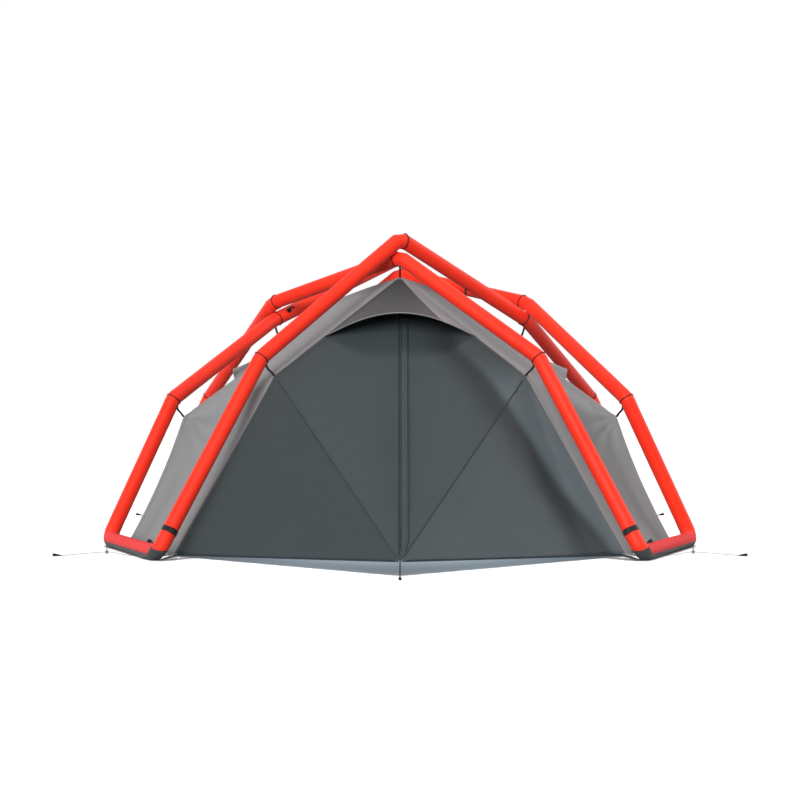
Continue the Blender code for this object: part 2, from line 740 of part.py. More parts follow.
def build_valve(name, spot, upright, turn_to, length):
    """A valve: a flanged neck with its cap, and the moulded leash that runs out along the tube."""
    body = turned(name, valve_profile(), VALVE_SIDES)
    TENT.objects.link(body)
    body.parent = ORIGIN
    body.data.materials.append(material(name + "_finish", BLACK, 0.4))
    place(body, spot, upright, turn_to)
    curve = bpy.data.curves.new(name + "_leash", "CURVE")
    curve.dimensions = "3D"
    curve.bevel_depth = LEASH_R
    curve.bevel_resolution = 2
    curve.use_fill_caps = True
    line = curve.splines.new("POLY")
    shares = np.linspace(0.0, 1.0, 9)
    line.points.add(len(shares) - 1)
    for point, t in zip(line.points, shares):
        out = VALVE_R * 0.30 + length * t
        side = LEASH_BOW * math.sin(math.pi * t)
        height = LEASH_FROM * VALVE_H * (1 - t) + (LEASH_R + 4 * GAP) * t
        point.co = (out, side, height, 1.0)
    leash = bpy.data.objects.new(name + "_leash", curve)
    CUTTERS.objects.link(leash)
    bpy.context.view_layer.update()
    graph = bpy.context.evaluated_depsgraph_get()
    mesh = bpy.data.meshes.new_from_object(leash.evaluated_get(graph))
    bm = bmesh.new()
    bm.from_mesh(mesh)
    bmesh.ops.remove_doubles(bm, verts=bm.verts, dist=1e-5)
    bmesh.ops.recalc_face_normals(bm, faces=bm.faces)
    bm.to_mesh(mesh)
    bm.free()
    joined = bpy.data.objects.new(name + "_leash_solid", mesh)
    CUTTERS.objects.link(joined)
    joined.parent = ORIGIN
    joined.hide_render = True
    joined.display_type = "WIRE"
    place(joined, spot, upright, turn_to)
    bpy.data.objects.remove(leash, do_unlink=True)
    union = body.modifiers.new("leash", "BOOLEAN")
    union.operation = "UNION"
    union.solver = "EXACT"
    union.object = joined


def surface_spot(start, end, share, towards):
    """A point just off a straight tube's cloth, at a share of its run, on the side that faces towards."""
    run = unit(end - start)
    upright = np.asarray(towards, float)
    upright = unit(upright - run * float(upright @ run))
    return start + (end - start) * share + upright * (TUBE_R + GAP), upright, run


def build_valves(points):
    for side, across in (("left", LEFT), ("right", RIGHT)):
        foot = points["end_foot", "front", side]
        other = points["side_foot", "front", side]
        towards = (-across * 0.55, 0.30, 1.0)
        spot, upright, run = surface_spot(foot, other, VALVE_AT["foot"], towards)
        build_valve(f"valve_foot_{side}", spot, upright, -run, LEASH_LENGTH["foot"])
    start, end = points["under", "left"], points["over", "rear"]
    spot, upright, run = surface_spot(start, end, VALVE_AT["crossing_left"], (-0.1, -1.0, 0.15))
    build_valve("valve_crossing_left", spot, upright, run, LEASH_LENGTH["crossing_left"])


# ---------------------------------------------------------------- guys and pegs


def smooth_route(stops, spacing):
    """Points every spacing or so along a smooth curve through the stops (Catmull-Rom, ends doubled)."""
    stops = [np.asarray(s, float) for s in stops]
    ends = [2 * stops[0] - stops[1]] + stops + [2 * stops[-1] - stops[-2]]
    route = []
    for a, b, c, d in zip(ends, ends[1:], ends[2:], ends[3:]):
        steps = max(1, round(np.linalg.norm(c - b) / spacing))
        for k in range(steps):
            t = k / steps
            tangent = (c - a) * t + (2 * a - 5 * b + 4 * c - d) * t**2 + (3 * (b - c) + d - a) * t**3
            route.append(b + tangent / 2)
    return route + [stops[-1]]


def cord(name, stops, radius, finish, spacing=0.030):
    route = smooth_route(stops, spacing)
    curve = bpy.data.curves.new(name, "CURVE")
    curve.dimensions = "3D"
    curve.bevel_depth = radius
    curve.bevel_resolution = 2
    curve.use_fill_caps = True
    line = curve.splines.new("POLY")
    line.points.add(len(route) - 1)
    for point, spot in zip(line.points, route):
        point.co = (*spot, 1.0)
    curve.materials.append(material(name + "_finish", *finish))
    obj = bpy.data.objects.new(name, curve)
    TENT.objects.link(obj)
    obj.parent = ORIGIN
    return obj


def build_peg(name, spot, away):
    """A peg pushed in low: its thick end stands out of the ground. Returns where a guy ties to it."""
    across = np.cross(away, UP)
    angles = 2 * math.pi * np.arange(PEG_SIDES) / PEG_SIDES
    rings = []
    for share, radius in PEG_PROFILE:
        middle = spot + away * PEG_LENGTH * share + (0, 0, radius)
        rings.append([middle + radius * (across * math.cos(a) + UP * math.sin(a)) for a in angles])
    add_object(name, loft(name, rings), (BLACK, 0.45))
    return spot - away * TIE_CLEAR + (0, 0, PEG_PROFILE[0][1])


def tube_side(foot, other, outward):
    """Where a guy leaves the side of a ground tube, clear of the round bend at the foot."""
    height = GUY_LEAVES["height"]
    reach = math.sqrt(TUBE_R**2 - (foot[2] - height) ** 2) + GUY_R + 2 * GAP
    spot = foot + unit(other - foot) * GUY_LEAVES["from_foot"] + outward * reach
    spot[2] = height
    return spot


def build_guys():
    """Corner guys: a bridle from both feet of a ground tube to a junction, and on to a peg."""
    axis_z = TUBE_R - AXIS_DROP
    droop = np.array([0.0, 0.0, -GUY_DROOP])
    for row, along in (("front", FRONT), ("rear", REAR)):
        for side, across in (("left", LEFT), ("right", RIGHT)):
            flip = np.array([across, along, 1.0])
            end_foot = np.array([*FRONT_FOOT, axis_z]) * flip
            side_foot = np.array([*SIDE_FOOT, axis_z]) * flip
            outward = unit(np.cross(side_foot - end_foot, (0, 0, -across * along)))
            junction = np.array([*JUNCTION, JUNCTION_Z]) * flip
            peg = np.array([*PEG, 0.0]) * flip
            tie = build_peg(f"peg_{row}_{side}", peg, unit((peg - junction) * (1, 1, 0)))
            start = tube_side(end_foot, side_foot, outward)
            stops = [start, (start + junction) / 2 + droop, junction, tie]
            cord(f"guy_{row}_{side}", stops, GUY_R, (PALE_CORD, 0.7))
            if row == "front":
                start = tube_side(side_foot, end_foot, outward)
                stop = junction + unit(start - junction) * (2 * GUY_R + GAP) + outward * GAP
                stops = [start, (start + stop) / 2 + droop, stop]
                cord(f"bridle_{row}_{side}", stops, GUY_R, (BLACK, 0.6))
    build_porch_guy()


def build_porch_guy():
    peg = np.array([*PORCH_PEG, 0.0])
    tie = build_peg("peg_porch", peg, np.array([0.0, -1.0, 0.0])) + PORCH_TIE
    start = np.array(PORCH_TIP) + PORCH_GUY_START
    cord("guy_porch", [start, (start + tie) / 2, tie], PORCH_GUY_R, (BLACK, 0.6), spacing=0.02)


clear_scene()
TENT = collection("inflatable_tent")
CUTTERS = collection("inflatable_tent_cutters")
ORIGIN = bpy.data.objects.new("tent_origin", None)
ORIGIN.location = (0.0, ORIGIN_Y, 0.0)
TENT.objects.link(ORIGIN)

FRAME = frame_points()
FLY = fly_points()
build_frame(FRAME)
build_fly(FLY)
build_porch(FLY)
build_hoods(FLY)
build_straps(FRAME, FLY)
build_bands(FRAME)
build_valves(FRAME)
build_guys()
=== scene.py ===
"""Looks of the inflatable tent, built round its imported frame.

Metres, +Z up, the porch faces -Y. Points are worked out about the frame's own centre, in tent space,
and grid_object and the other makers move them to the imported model's place.
"""

import math

import bpy
import numpy as np
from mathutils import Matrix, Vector


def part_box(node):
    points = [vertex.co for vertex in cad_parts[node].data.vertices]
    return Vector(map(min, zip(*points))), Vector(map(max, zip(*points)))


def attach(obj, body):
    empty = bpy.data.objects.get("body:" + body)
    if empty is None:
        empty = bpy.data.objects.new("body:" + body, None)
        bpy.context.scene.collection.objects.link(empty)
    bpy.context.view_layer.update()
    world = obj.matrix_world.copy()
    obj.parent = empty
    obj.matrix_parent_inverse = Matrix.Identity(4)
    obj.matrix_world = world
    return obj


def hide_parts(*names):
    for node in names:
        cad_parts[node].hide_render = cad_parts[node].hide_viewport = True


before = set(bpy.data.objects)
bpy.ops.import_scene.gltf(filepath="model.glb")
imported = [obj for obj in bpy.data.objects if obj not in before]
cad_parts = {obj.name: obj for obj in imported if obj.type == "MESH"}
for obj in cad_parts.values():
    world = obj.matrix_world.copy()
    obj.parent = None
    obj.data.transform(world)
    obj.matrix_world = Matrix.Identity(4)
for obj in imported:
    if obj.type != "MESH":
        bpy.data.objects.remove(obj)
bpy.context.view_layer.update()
# The frame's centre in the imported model: tent space plus this is world space.
CENTRE = np.array([0.0, sum(corner[1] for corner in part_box("fly_roof")) / 2, 0.0])

# ---- sizes

TUBE_R = 0.038
AXIS_Z = 0.034
FRONT_FOOT = (1.138, 1.319)
SIDE_FOOT = (1.497, 0.656)
FRONT_KNEE = (0.685, 0.946, 0.961)
SIDE_KNEE = (1.153, 0.721, 0.756)
END_CROSSING = (0.579, 1.534)
SIDE_CROSSING = (0.706, 1.234)
END_WEAVE = 0.0480
SIDE_WEAVE = 0.0490
BEND_CUT = 0.028
KNEE_CUT = 0.012
FOOT_BEND = 0.047
FOOT_STEPS = 16
TUBE_SIDES = 56
RING_SPACING = 0.020
MITRE_STEP = {"least": 0.003, "growth": 0.35}

PUCKER = {"depth": 0.0007, "fade": 0.014, "count": 17}
PIPING_R = 0.0030
PIPING_LIFT = 0.0006

CLOTH = 0.0009
FLY_END_PEAK = (0.540, 1.387)
FLY_SIDE_PEAK = (0.660, 1.050)
FLY_FRONT_KNEE = (0.622, 0.930, 0.870)
FLY_SIDE_KNEE = (1.106, 0.700, 0.662)
FLY_FRONT_FOOT = (1.089, 1.142)
FLY_SIDE_FOOT = (1.410, 0.600)
HEM_LIFT = 0.004
FLY_CENTRE = (0.0, 0.0, 0.35)
WALL_EDGE_SAG = 0.020
FRONT_EDGE_SAG = 0.003
EAVE_SAG = 0.012
ROOF_LIFT = 0.065
ROOF_CREST = 1.3
HEM_SAG = 0.020
WALL_BELLY = 0.040
ROOF_BELLY = 0.030

PORCH_TIP = np.array([0.0, -1.890, 0.060])
LEAF_SAG = 0.022
LEAF_TO = 0.992
FLAP_WIDTH = 0.042
FLAP_RISE = 0.0022
FLAP_SPAN = (0.17, 0.985)

FRONT_HOOD = {"reach": 0.62, "down_zip": 0.145, "out": (0.0, -0.232, -0.020)}
SIDE_HOOD = {"reach": 0.50, "out": (0.040, 0.0, 0.058)}
HOOD_START = 0.04
HOOD_SWELL = 1.4
HOOD_ARCH = 1.2
HOOD_RISE = 0.0010

GUY_R = 0.0014
GUY_DROOP = 0.003
GUY_LEAVES = {"from_foot": 0.075, "height": 0.014}
JUNCTION = (1.432, 1.035)
JUNCTION_Z = 0.009
TIE_CLEAR = 0.0006
PORCH_GUY_START = (0.0, 0.0077, 0.0113)
PORCH_GUY_R = 0.0030
PORCH_TIE = (0.0, 0.0006, 0.0015)
PEG = (1.634, 1.122)
PORCH_PEG = (0.0, -1.990)
PEG_LENGTH = 0.042
PEG_PROFILE = ((0.0, 0.0024), (0.3, 0.0040), (0.7, 0.0066), (0.92, 0.0076), (1.0, 0.0062))

RIPPLES = (0.9, 0.45, 0.27)  # wavelengths of the cloth's undulation
RIPPLE = 0.003
FOLD = 0.004
GROUND_CLEAR = 0.0012

LEFT, RIGHT = -1, 1
FRONT, REAR = -1, 1
ROWS = (("front", FRONT), ("rear", REAR))
SIDES = (("left", LEFT), ("right", RIGHT))
CORNERS = [(row, along, side, across) for row, along in ROWS for side, across in SIDES]
GAP = 0.0003
UP = np.array([0.0, 0.0, 1.0])
FORWARD = (0, -1, 0)
CROSSINGS = ("front", "rear", "left", "right")

# ---- vectors and meshes


def lengths(vectors, keep=False):
    return np.linalg.norm(vectors, axis=-1, keepdims=keep)


def unit(vectors):
    return np.asarray(vectors, float) / np.maximum(lengths(vectors, keep=True), 1e-12)


def blend(first, second, share):
    return (1 - share) * first + share * second


def down_grid(start, end, steps):
    """Evenly spaced values, one a row of a grid."""
    return np.linspace(start, end, steps + 1)[:, None, None]


def across_grid(steps):
    """Evenly spaced shares from 0 to 1, one a column of a grid."""
    return np.linspace(0.0, 1.0, steps + 1)[None, :, None]


def rotate(vector, axis, angle):
    """Rodrigues' rotation of a vector about a unit axis."""
    cosine, sine = math.cos(angle), math.sin(angle)
    return vector * cosine + np.cross(axis, vector) * sine + axis * float(axis @ vector) * (1 - cosine)


def smooth_step(values):
    values = np.clip(values, 0.0, 1.0)
    return values * values * (3 - 2 * values)


def circle(count):
    """Angles of evenly spaced points round a ring."""
    return 2 * math.pi * np.arange(count) / count


def spokes(angles, first, second):
    """Arms at those angles, from the first axis towards the second."""
    return np.cos(angles)[..., None] * first + np.sin(angles)[..., None] * second


def arc_lengths(grid, axis):
    """Distance along one axis of a grid of points, averaged over the other."""
    steps = lengths(np.diff(grid, axis=axis))
    return np.concatenate([[0.0], np.cumsum(steps.mean(axis=1 - axis))])


def placed(name, data, spot=(0.0, 0.0, 0.0)):
    """A new object in the scene, at that spot in the world."""
    obj = bpy.data.objects.new(name, data)
    obj.location = spot
    bpy.context.scene.collection.objects.link(obj)
    return obj


def mesh_object(name, points, faces, uvs, material, sharp=60.0):
    """An object in world space from tent-space points. uvs holds one (u, v) in metres a face corner."""
    mesh = bpy.data.meshes.new(name)
    mesh.from_pydata((np.asarray(points) + CENTRE).tolist(), [], faces)
    layer = mesh.uv_layers.new(name="UVMap")
    layer.data.foreach_set("uv", np.asarray(uvs, np.float32).ravel())
    mesh.materials.append(material)
    mesh.shade_smooth()
    mesh.set_sharp_from_angle(angle=math.radians(sharp))
    return placed(name, mesh)


def grid_faces(rows, cols, closed, first=0):
    """Quads of a grid whose columns may close into a ring, with each corner's (row, column)."""
    faces, corners = [], []
    for r in range(rows - 1):
        for c in range(cols if closed else cols - 1):
            d = (c + 1) % cols
            low, high = first + r * cols, first + (r + 1) * cols
            faces.append([low + c, low + d, high + d, high + c])
            corners += [(r, c), (r, c + 1), (r + 1, c + 1), (r + 1, c)]
    return faces, corners


def join_grids(name, grids, material, closed=False, caps=False, sharp=60.0):
    """One object from several grids of points. Closed grids are tubes, which caps closes at both ends."""
    points, faces, uvs = [], [], []
    for grid in grids:
        grid = np.asarray(grid, float)
        rows, cols = grid.shape[:2]
        along = arc_lengths(grid, 0)
        ring = np.concatenate([grid, grid[:, :1]], axis=1) if closed else grid
        across = arc_lengths(ring, 1)
        quads, corners = grid_faces(rows, cols, closed, len(points))
        faces += quads
        uvs += [(across[c], along[r]) for r, c in corners]
        if caps:
            base = len(points)
            faces.append(list(range(base, base + cols))[::-1])
            faces.append(list(range(base + (rows - 1) * cols, base + rows * cols)))
            uvs += [(across[c], 0.0) for c in range(cols)] * 2
        points += list(grid.reshape(-1, 3))
    return mesh_object(name, points, faces, uvs, material, sharp)


def pointing(vector, way):
    """The vector or its opposite, whichever points that way."""
    return vector if float(vector @ np.asarray(way, float)) > 0 else -vector


def facing(grid, outside):
    """The grid, its columns reversed where its faces would look away from outside."""
    across = grid[:-1, 1:] - grid[:-1, :-1]
    along = grid[1:, :-1] - grid[:-1, :-1]
    total = np.cross(across, along).sum(axis=(0, 1))
    return grid if float(total @ np.asarray(outside, float)) > 0 else grid[:, ::-1]


def surface_normals(grid):
    """Unit normals at the points of a grid, on the side its faces look to."""
    return unit(np.cross(np.gradient(grid, axis=1), np.gradient(grid, axis=0)))


def settle(piece, node=None):
    """Puts a piece on the tent's one body and in that node's place, where it has one."""
    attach(piece, "root")
    if node:
        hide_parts(node)
    return piece


def ringed(name, rings, material, node=None, caps=True, sharp=60.0):
    """A settled piece whose surface runs through rings of points."""
    return settle(join_grids(name, [rings], material, True, caps, sharp), node)


def cloth_object(name, grid, outside, material, thickness=CLOTH, offset=-1.0):
    """A thin sheet from a grid of points, its outer face where the grid is."""
    obj = join_grids(name, [facing(grid, outside)], material, sharp=50.0)
    weld = obj.modifiers.new("weld", "WELD")
    weld.merge_threshold = 0.00002
    shell = obj.modifiers.new("cloth", "SOLIDIFY")
    shell.thickness = thickness
    shell.offset = offset
    return obj


def tape(name, line, normals, width, look, lift=0.0016, crown=0.0006):
    """A flat tape along a line of points on a surface with those normals. look: its cloth and slot; only the
    cloth is used.
    """
    side = unit(np.cross(normals, np.gradient(line, axis=0)))
    across = np.linspace(-0.5, 0.5, 5)[None, :, None]
    rise = lift + crown * (1 - 4 * across**2)
    grid = line[:, None] + side[:, None] * width * across + normals[:, None] * rise
    grid[:, :, 2] = np.maximum(grid[:, :, 2], GROUND_CLEAR)
    return settle(cloth_object(name, grid, normals.mean(axis=0), look[0]))


def paint_shade_points(piece, shades):
    """Keeps the painted light and shade of the cloth at each of its points, as how much lighter or darker it
    is, for its material to read.
    """
    layer = piece.data.attributes.new("shade", "FLOAT", "POINT")
    layer.data.foreach_set("value", np.asarray(shades, np.float32).ravel())


# ---- materials


def shader(name, color, roughness, specular=0.2, sheen=0.0):
    """A new material with its constants on the shader's own sockets."""
    made = bpy.data.materials.new(name)
    made.use_nodes = True
    constants = {"Base Color": (*color, 1.0), "Roughness": roughness}
    constants |= {"Specular IOR Level": specular, "Sheen Weight": sheen}
    for key, value in constants.items():
        made.node_tree.nodes["Principled BSDF"].inputs[key].default_value = value
    return made


def add_node(made, kind, inputs=(), **settings):
    node = made.node_tree.nodes.new(kind)
    for key, value in settings.items():
        setattr(node, key, value)
    for key, value in dict(inputs).items():
        if isinstance(value, bpy.types.NodeSocket):
            made.node_tree.links.new(value, node.inputs[key])
        else:
            node.inputs[key].default_value = value
    return node


def link_to_surface(made, **sockets):
    surface = made.node_tree.nodes["Principled BSDF"]
    for key, value in sockets.items():
        made.node_tree.links.new(value, surface.inputs[key.replace("_", " ")])


def noise(made, coordinates, scale, detail=3.0, roughness=0.5, distortion=0.0):
    inputs = {"Vector": coordinates, "Scale": scale, "Detail": detail}
    inputs |= {"Roughness": roughness, "Distortion": distortion}
    return add_node(made, "ShaderNodeTexNoise", inputs).outputs["Fac"]


def ramp(made, factor, stops):
    """A colour ramp from (position, colour) stops."""
    node = add_node(made, "ShaderNodeValToRGB", {"Fac": factor})
    elements = node.color_ramp.elements
    while len(elements) < len(stops):
        elements.new(0.5)
    for element, (position, color) in zip(elements, stops):
        element.position = position
        element.color = (*color, 1.0)
    return node.outputs["Color"]


def math_node(made, operation, first, second=0.0):
    return add_node(made, "ShaderNodeMath", {0: first, 1: second}, operation=operation).outputs[0]


def times(made, first, second):
    return math_node(made, "MULTIPLY", first, second)


def mixed(made, factor, first, second):
    inputs = {"Factor": factor, "A": first, "B": second}
    return add_node(made, "ShaderNodeMix", inputs, data_type="RGBA").outputs["Result"]


def bumped(made, height, strength, distance, normal=None):
    inputs = {"Height": height, "Strength": strength, "Distance": distance}
    if normal is not None:
        inputs["Normal"] = normal
    return add_node(made, "ShaderNodeBump", inputs).outputs["Normal"]


def over_cloth(made):
    """The distances across and along a cloth, in metres."""
    uv = add_node(made, "ShaderNodeUVMap", uv_map="UVMap").outputs["UV"]
    parts = add_node(made, "ShaderNodeSeparateXYZ", {"Vector": uv}).outputs
    return parts["X"], parts["Y"]


def repeating(made, distance, pitch, share):
    """1 over the first share of every pitch along a distance, 0 over the rest."""
    cell = math_node(made, "FRACT", math_node(made, "DIVIDE", distance, pitch))
    return math_node(made, "LESS_THAN", cell, share)


def scaled(color, factor):
    return tuple(min(1.0, c * factor) for c in color)


def fabric(name, color, roughness, pitch, spread=0.06, rip=None, tint=(1.0, 1.0, 1.0), painted_shade=False, **look):
    """Woven cloth: thread relief, slow changes of shade, soft creases and uneven gloss, and where asked the
    painted light and shade kept on its points.
    """
    made = shader(name, color, roughness, **look)
    where = add_node(made, "ShaderNodeTexCoord").outputs["Object"]
    slow = noise(made, where, 2.3, 4.0, 0.55, 0.4)
    fine = noise(made, where, 260.0, 2.0, 0.6)
    shade = math_node(made, "ADD", times(made, slow, 0.8), times(made, fine, 0.2))
    deep = tuple(c * (1 - spread) * t for c, t in zip(color, tint))
    colour = ramp(made, shade, [(0.30, deep), (0.52, color), (0.72, scaled(color, 1 + spread))])
    # Painted light and shade: the colour is scaled by the value kept on the piece's points.
    if painted_shade:
        painted_light_and_shade = add_node(made, "ShaderNodeAttribute", attribute_name="shade").outputs["Fac"]
        inputs = {0: colour, "Scale": math_node(made, "ADD", painted_light_and_shade, 1.0)}
        colour = add_node(made, "ShaderNodeVectorMath", inputs, operation="SCALE").outputs[0]
    ways = over_cloth(made)
    height = times(made, *(math_node(made, "SINE", times(made, way, 2 * math.pi / pitch)) for way in ways))
    if rip:
        grid = math_node(made, "MAXIMUM", *(repeating(made, way, rip, pitch * 1.6 / rip) for way in ways))
        height = math_node(made, "ADD", height, times(made, grid, 1.4))
        colour = mixed(made, times(made, grid, 0.25), colour, (*scaled(color, 1.25), 1.0))
    creases = noise(made, where, 9.0, 5.0, 0.55, 0.8)
    normal = bumped(made, creases, 0.35, 0.006)
    normal = bumped(made, height, 0.5, pitch * 0.22, normal)
    inputs = {"Value": noise(made, where, 14.0, 4.0), "To Min": roughness - 0.06, "To Max": roughness + 0.08}
    gloss = add_node(made, "ShaderNodeMapRange", inputs).outputs["Result"]
    link_to_surface(made, Base_Color=colour, Roughness=gloss, Normal=normal)
    return made


STITCH = {"from_edge": 0.18, "thread": 0.0006, "pitch": 0.0042, "share": 0.62}


def stitched(made, width, thread):
    """Adds two rows of raised stitches near the edges of a tape of that width."""
    across, along = over_cloth(made)
    rows = []
    for share in (STITCH["from_edge"], 1.0 - STITCH["from_edge"]):
        away = math_node(made, "ABSOLUTE", math_node(made, "SUBTRACT", across, share * width))
        rows.append(math_node(made, "LESS_THAN", away, STITCH["thread"]))
    dash = repeating(made, along, STITCH["pitch"], STITCH["share"])
    stitch = times(made, math_node(made, "MAXIMUM", *rows), dash)
    surface = made.node_tree.nodes["Principled BSDF"]
    cloth, before = (surface.inputs[key].links[0].from_socket for key in ("Base Color", "Normal"))
    colour = mixed(made, stitch, cloth, (*thread, 1.0))
    link_to_surface(made, Base_Color=colour, Normal=bumped(made, stitch, 0.6, 0.0005, before))


RED = (0.84, 0.026, 0.006)
# The ground sleeves' red with a painted reflection of the pale sky mixed in, which makes it pinker than the
# arches' red.
GROUND_RED_AND_PAINTED_SHEEN = (0.74, 0.056, 0.058)
DARK_PATCH = (0.040, 0.042, 0.042)
LIGHT_GREY = (0.212, 0.221, 0.226)
PALE_TAPE = (0.240, 0.241, 0.245)
SLATE = (0.033, 0.043, 0.047)
SLATE_SEAM = (0.016, 0.022, 0.028)
HOOD_GREY = (0.0295, 0.035, 0.0385)
BLACK = (0.006, 0.0065, 0.007)
PALE_CORD = (0.17, 0.17, 0.17)

RED_CLOTH = fabric("red_sleeve_cloth", RED, 0.46, 0.0007, spread=0.05, tint=(1.0, 0.8, 0.9), sheen=0.10)
GROUND_CLOTH = fabric("ground_sleeve_cloth", GROUND_RED_AND_PAINTED_SHEEN, 0.60, 0.0009, spread=0.05, specular=0.08)
PATCH_CLOTH = fabric("abrasion_cloth", DARK_PATCH, 0.62, 0.0014, spread=0.10, sheen=0.10)
FLY_CLOTH = fabric("fly_cloth", LIGHT_GREY, 0.62, 0.0006, spread=0.035, rip=0.006, sheen=0.10)
PALE_WIDTH, SEAM_WIDTH, RIDGE_WIDTH, STRAP_WIDTH = 0.014, 0.009, 0.006, 0.011
TAPE_CLOTH = fabric("pale_tape", PALE_TAPE, 0.60, 0.0010, spread=0.03, sheen=0.10)
stitched(TAPE_CLOTH, PALE_WIDTH, (0.30, 0.30, 0.31))
# The door cloth carries the painted light and shade kept on the right leaf.
DOOR_CLOTH_AND_PAINTED_SHADE = fabric("door_cloth", SLATE, 0.50, 0.0006, spread=0.05, rip=0.006, painted_shade=True, sheen=0.12)
SEAM_CLOTH = fabric("door_seam", SLATE_SEAM, 0.60, 0.0010, spread=0.08)
stitched(SEAM_CLOTH, SEAM_WIDTH, (0.05, 0.06, 0.066))
RIDGE_CLOTH = fabric("door_ridge", scaled(SLATE, 0.75), 0.60, 0.0010, spread=0.08)
stitched(RIDGE_CLOTH, RIDGE_WIDTH, (0.05, 0.06, 0.066))
HOOD_CLOTH = fabric("hood_cloth", HOOD_GREY, 0.60, 0.0006, spread=0.05, rip=0.006, sheen=0.12)
FLY_LOOK, TAPE_LOOK = (FLY_CLOTH, "fly_cloth"), (TAPE_CLOTH, "fly_cloth")
DOOR_LOOK, SEAM_LOOK = (DOOR_CLOTH_AND_PAINTED_SHADE, "door_cloth"), (SEAM_CLOTH, "door_cloth")
WEBBING = fabric("webbing", BLACK, 0.70, 0.0016, spread=0.25, sheen=0.20)
TOGGLE = fabric("pale_toggle", (0.50, 0.36, 0.34), 0.65, 0.0012, spread=0.06)
PIPING = fabric("piping_cord", (0.026, 0.009, 0.009), 0.55, 0.0010, spread=0.2)
PALE_BRAID = fabric("pale_braid", PALE_CORD, 0.75, 0.0012, spread=0.12)
DARK_BRAID = fabric("dark_braid", (0.030, 0.030, 0.032), 0.75, 0.0012, spread=0.2)


def moulded(name, color, roughness):
    """Moulded plastic with a faint grain and scuffs."""
    made = shader(name, color, roughness)
    where = add_node(made, "ShaderNodeTexCoord").outputs["Object"]
    grain = noise(made, where, 900.0, 2.0, 0.7)
    scuffs = noise(made, where, 60.0, 5.0, 0.7, 0.6)
    colour = ramp(made, scuffs, [(0.35, color), (0.75, scaled(color, 1.9))])
    link_to_surface(made, Base_Color=colour, Normal=bumped(made, grain, 0.25, 0.0004))
    return made


PLASTIC = moulded("black_plastic", BLACK, 0.38)

# ---- camera

CAMERA_SPOT = (0.0, -8.30, 0.82)
CAMERA_TILT = 0.54
LENS = 67.0


def make_camera():
    lens = bpy.data.cameras.new("camera")
    lens.lens = LENS
    camera = placed("camera", lens, np.array(CAMERA_SPOT) + CENTRE)
    camera.rotation_euler = (math.radians(90.0 - CAMERA_TILT), 0.0, 0.0)
    bpy.context.scene.camera = camera


make_camera()

# ---- corner points


def spread(corners, tops):
    """Points at all four corners and crossings, from those of one corner and of two crossings."""
    points = {}
    for row, along, side, across in CORNERS:
        for kind, spot in corners.items():
            points[kind, row, side] = np.array(spot) * (across, along, 1.0)
    for kind, (end, aside) in tops.items():
        for row, along in ROWS:
            points[kind, row] = np.array([0.0, along * end[0], end[1]])
        for side, across in SIDES:
            points[kind, side] = np.array([across * aside[0], 0.0, aside[1]])
    return points


FRAME = spread(
    {
        "end_foot": (*FRONT_FOOT, AXIS_Z),
        "side_foot": (*SIDE_FOOT, AXIS_Z),
        "end_knee": FRONT_KNEE,
        "side_knee": SIDE_KNEE,
        "junction": (*JUNCTION, JUNCTION_Z),
        "peg": (*PEG, 0.0),
    },
    {
        name: (np.add(END_CROSSING, (0, way * END_WEAVE)), np.add(SIDE_CROSSING, (0, way * SIDE_WEAVE)))
        for name, way in (("over", 1), ("under", -1))
    },
)
FLY = spread(
    {
        "end_foot": (*FLY_FRONT_FOOT, HEM_LIFT),
        "side_foot": (*FLY_SIDE_FOOT, HEM_LIFT),
        "end_knee": FLY_FRONT_KNEE,
        "side_knee": FLY_SIDE_KNEE,
    },
    {"peak": (FLY_END_PEAK, FLY_SIDE_PEAK)},
)

# ---- guy lines


def smooth_route(stops, spacing):
    """Points every spacing or so along a smooth curve through the stops (Catmull-Rom, ends doubled)."""
    stops = [np.asarray(s, float) for s in stops]
    ends = [2 * stops[0] - stops[1]] + stops + [2 * stops[-1] - stops[-2]]
    route = []
    for a, b, c, d in zip(ends, ends[1:], ends[2:], ends[3:]):
        steps = max(1, round(np.linalg.norm(c - b) / spacing))
        for k in range(steps):
            t = k / steps
            tangent = (c - a) * t + (2 * a - 5 * b + 4 * c - d) * t**2 + (3 * (b - c) + d - a) * t**3
            route.append(b + tangent / 2)
    return route + [stops[-1]]


def tie_point(spot, away):
    """Where a guy ties to a peg that lies away from there along the ground."""
    return spot - away * TIE_CLEAR + (0, 0, PEG_PROFILE[0][1])


def tube_side(foot, other, outward):
    """Where a guy leaves the side of a ground tube, clear of the round bend at the foot."""
    height = GUY_LEAVES["height"]
    reach = math.sqrt(TUBE_R**2 - (foot[2] - height) ** 2) + GUY_R + 2 * GAP
    spot = foot + unit(other - foot) * GUY_LEAVES["from_foot"] + outward * reach
    spot[2] = height
    return spot


def guy_routes():
    """Every guy's stops, and every peg's thin end with the way it lies."""
    routes, pegs = {}, {}
    droop = np.array([0.0, 0.0, -GUY_DROOP])
    for row, along, side, across in CORNERS:
        end_foot, side_foot, junction, peg = (
            FRAME[kind, row, side] for kind in ("end_foot", "side_foot", "junction", "peg")
        )
        outward = unit(np.cross(side_foot - end_foot, (0, 0, -across * along)))
        away = unit((peg - junction) * (1, 1, 0))
        pegs[f"{row}_{side}"] = peg, away
        start = tube_side(end_foot, side_foot, outward)
        routes[f"guy_{row}_{side}"] = [start, (start + junction) / 2 + droop, junction, tie_point(peg, away)]
        if row == "front":
            start = tube_side(side_foot, end_foot, outward)
            stop = junction + unit(start - junction) * (2 * GUY_R + GAP) + outward * GAP
            routes[f"bridle_{row}_{side}"] = [start, (start + stop) / 2 + droop, stop]
    peg, away = np.array([*PORCH_PEG, 0.0]), np.array([0.0, -1.0, 0.0])
    pegs["porch"] = peg, away
    start, tie = PORCH_TIP + PORCH_GUY_START, tie_point(peg, away) + PORCH_TIE
    routes["guy_porch"] = [start, (start + tie) / 2, tie]
    return routes, pegs


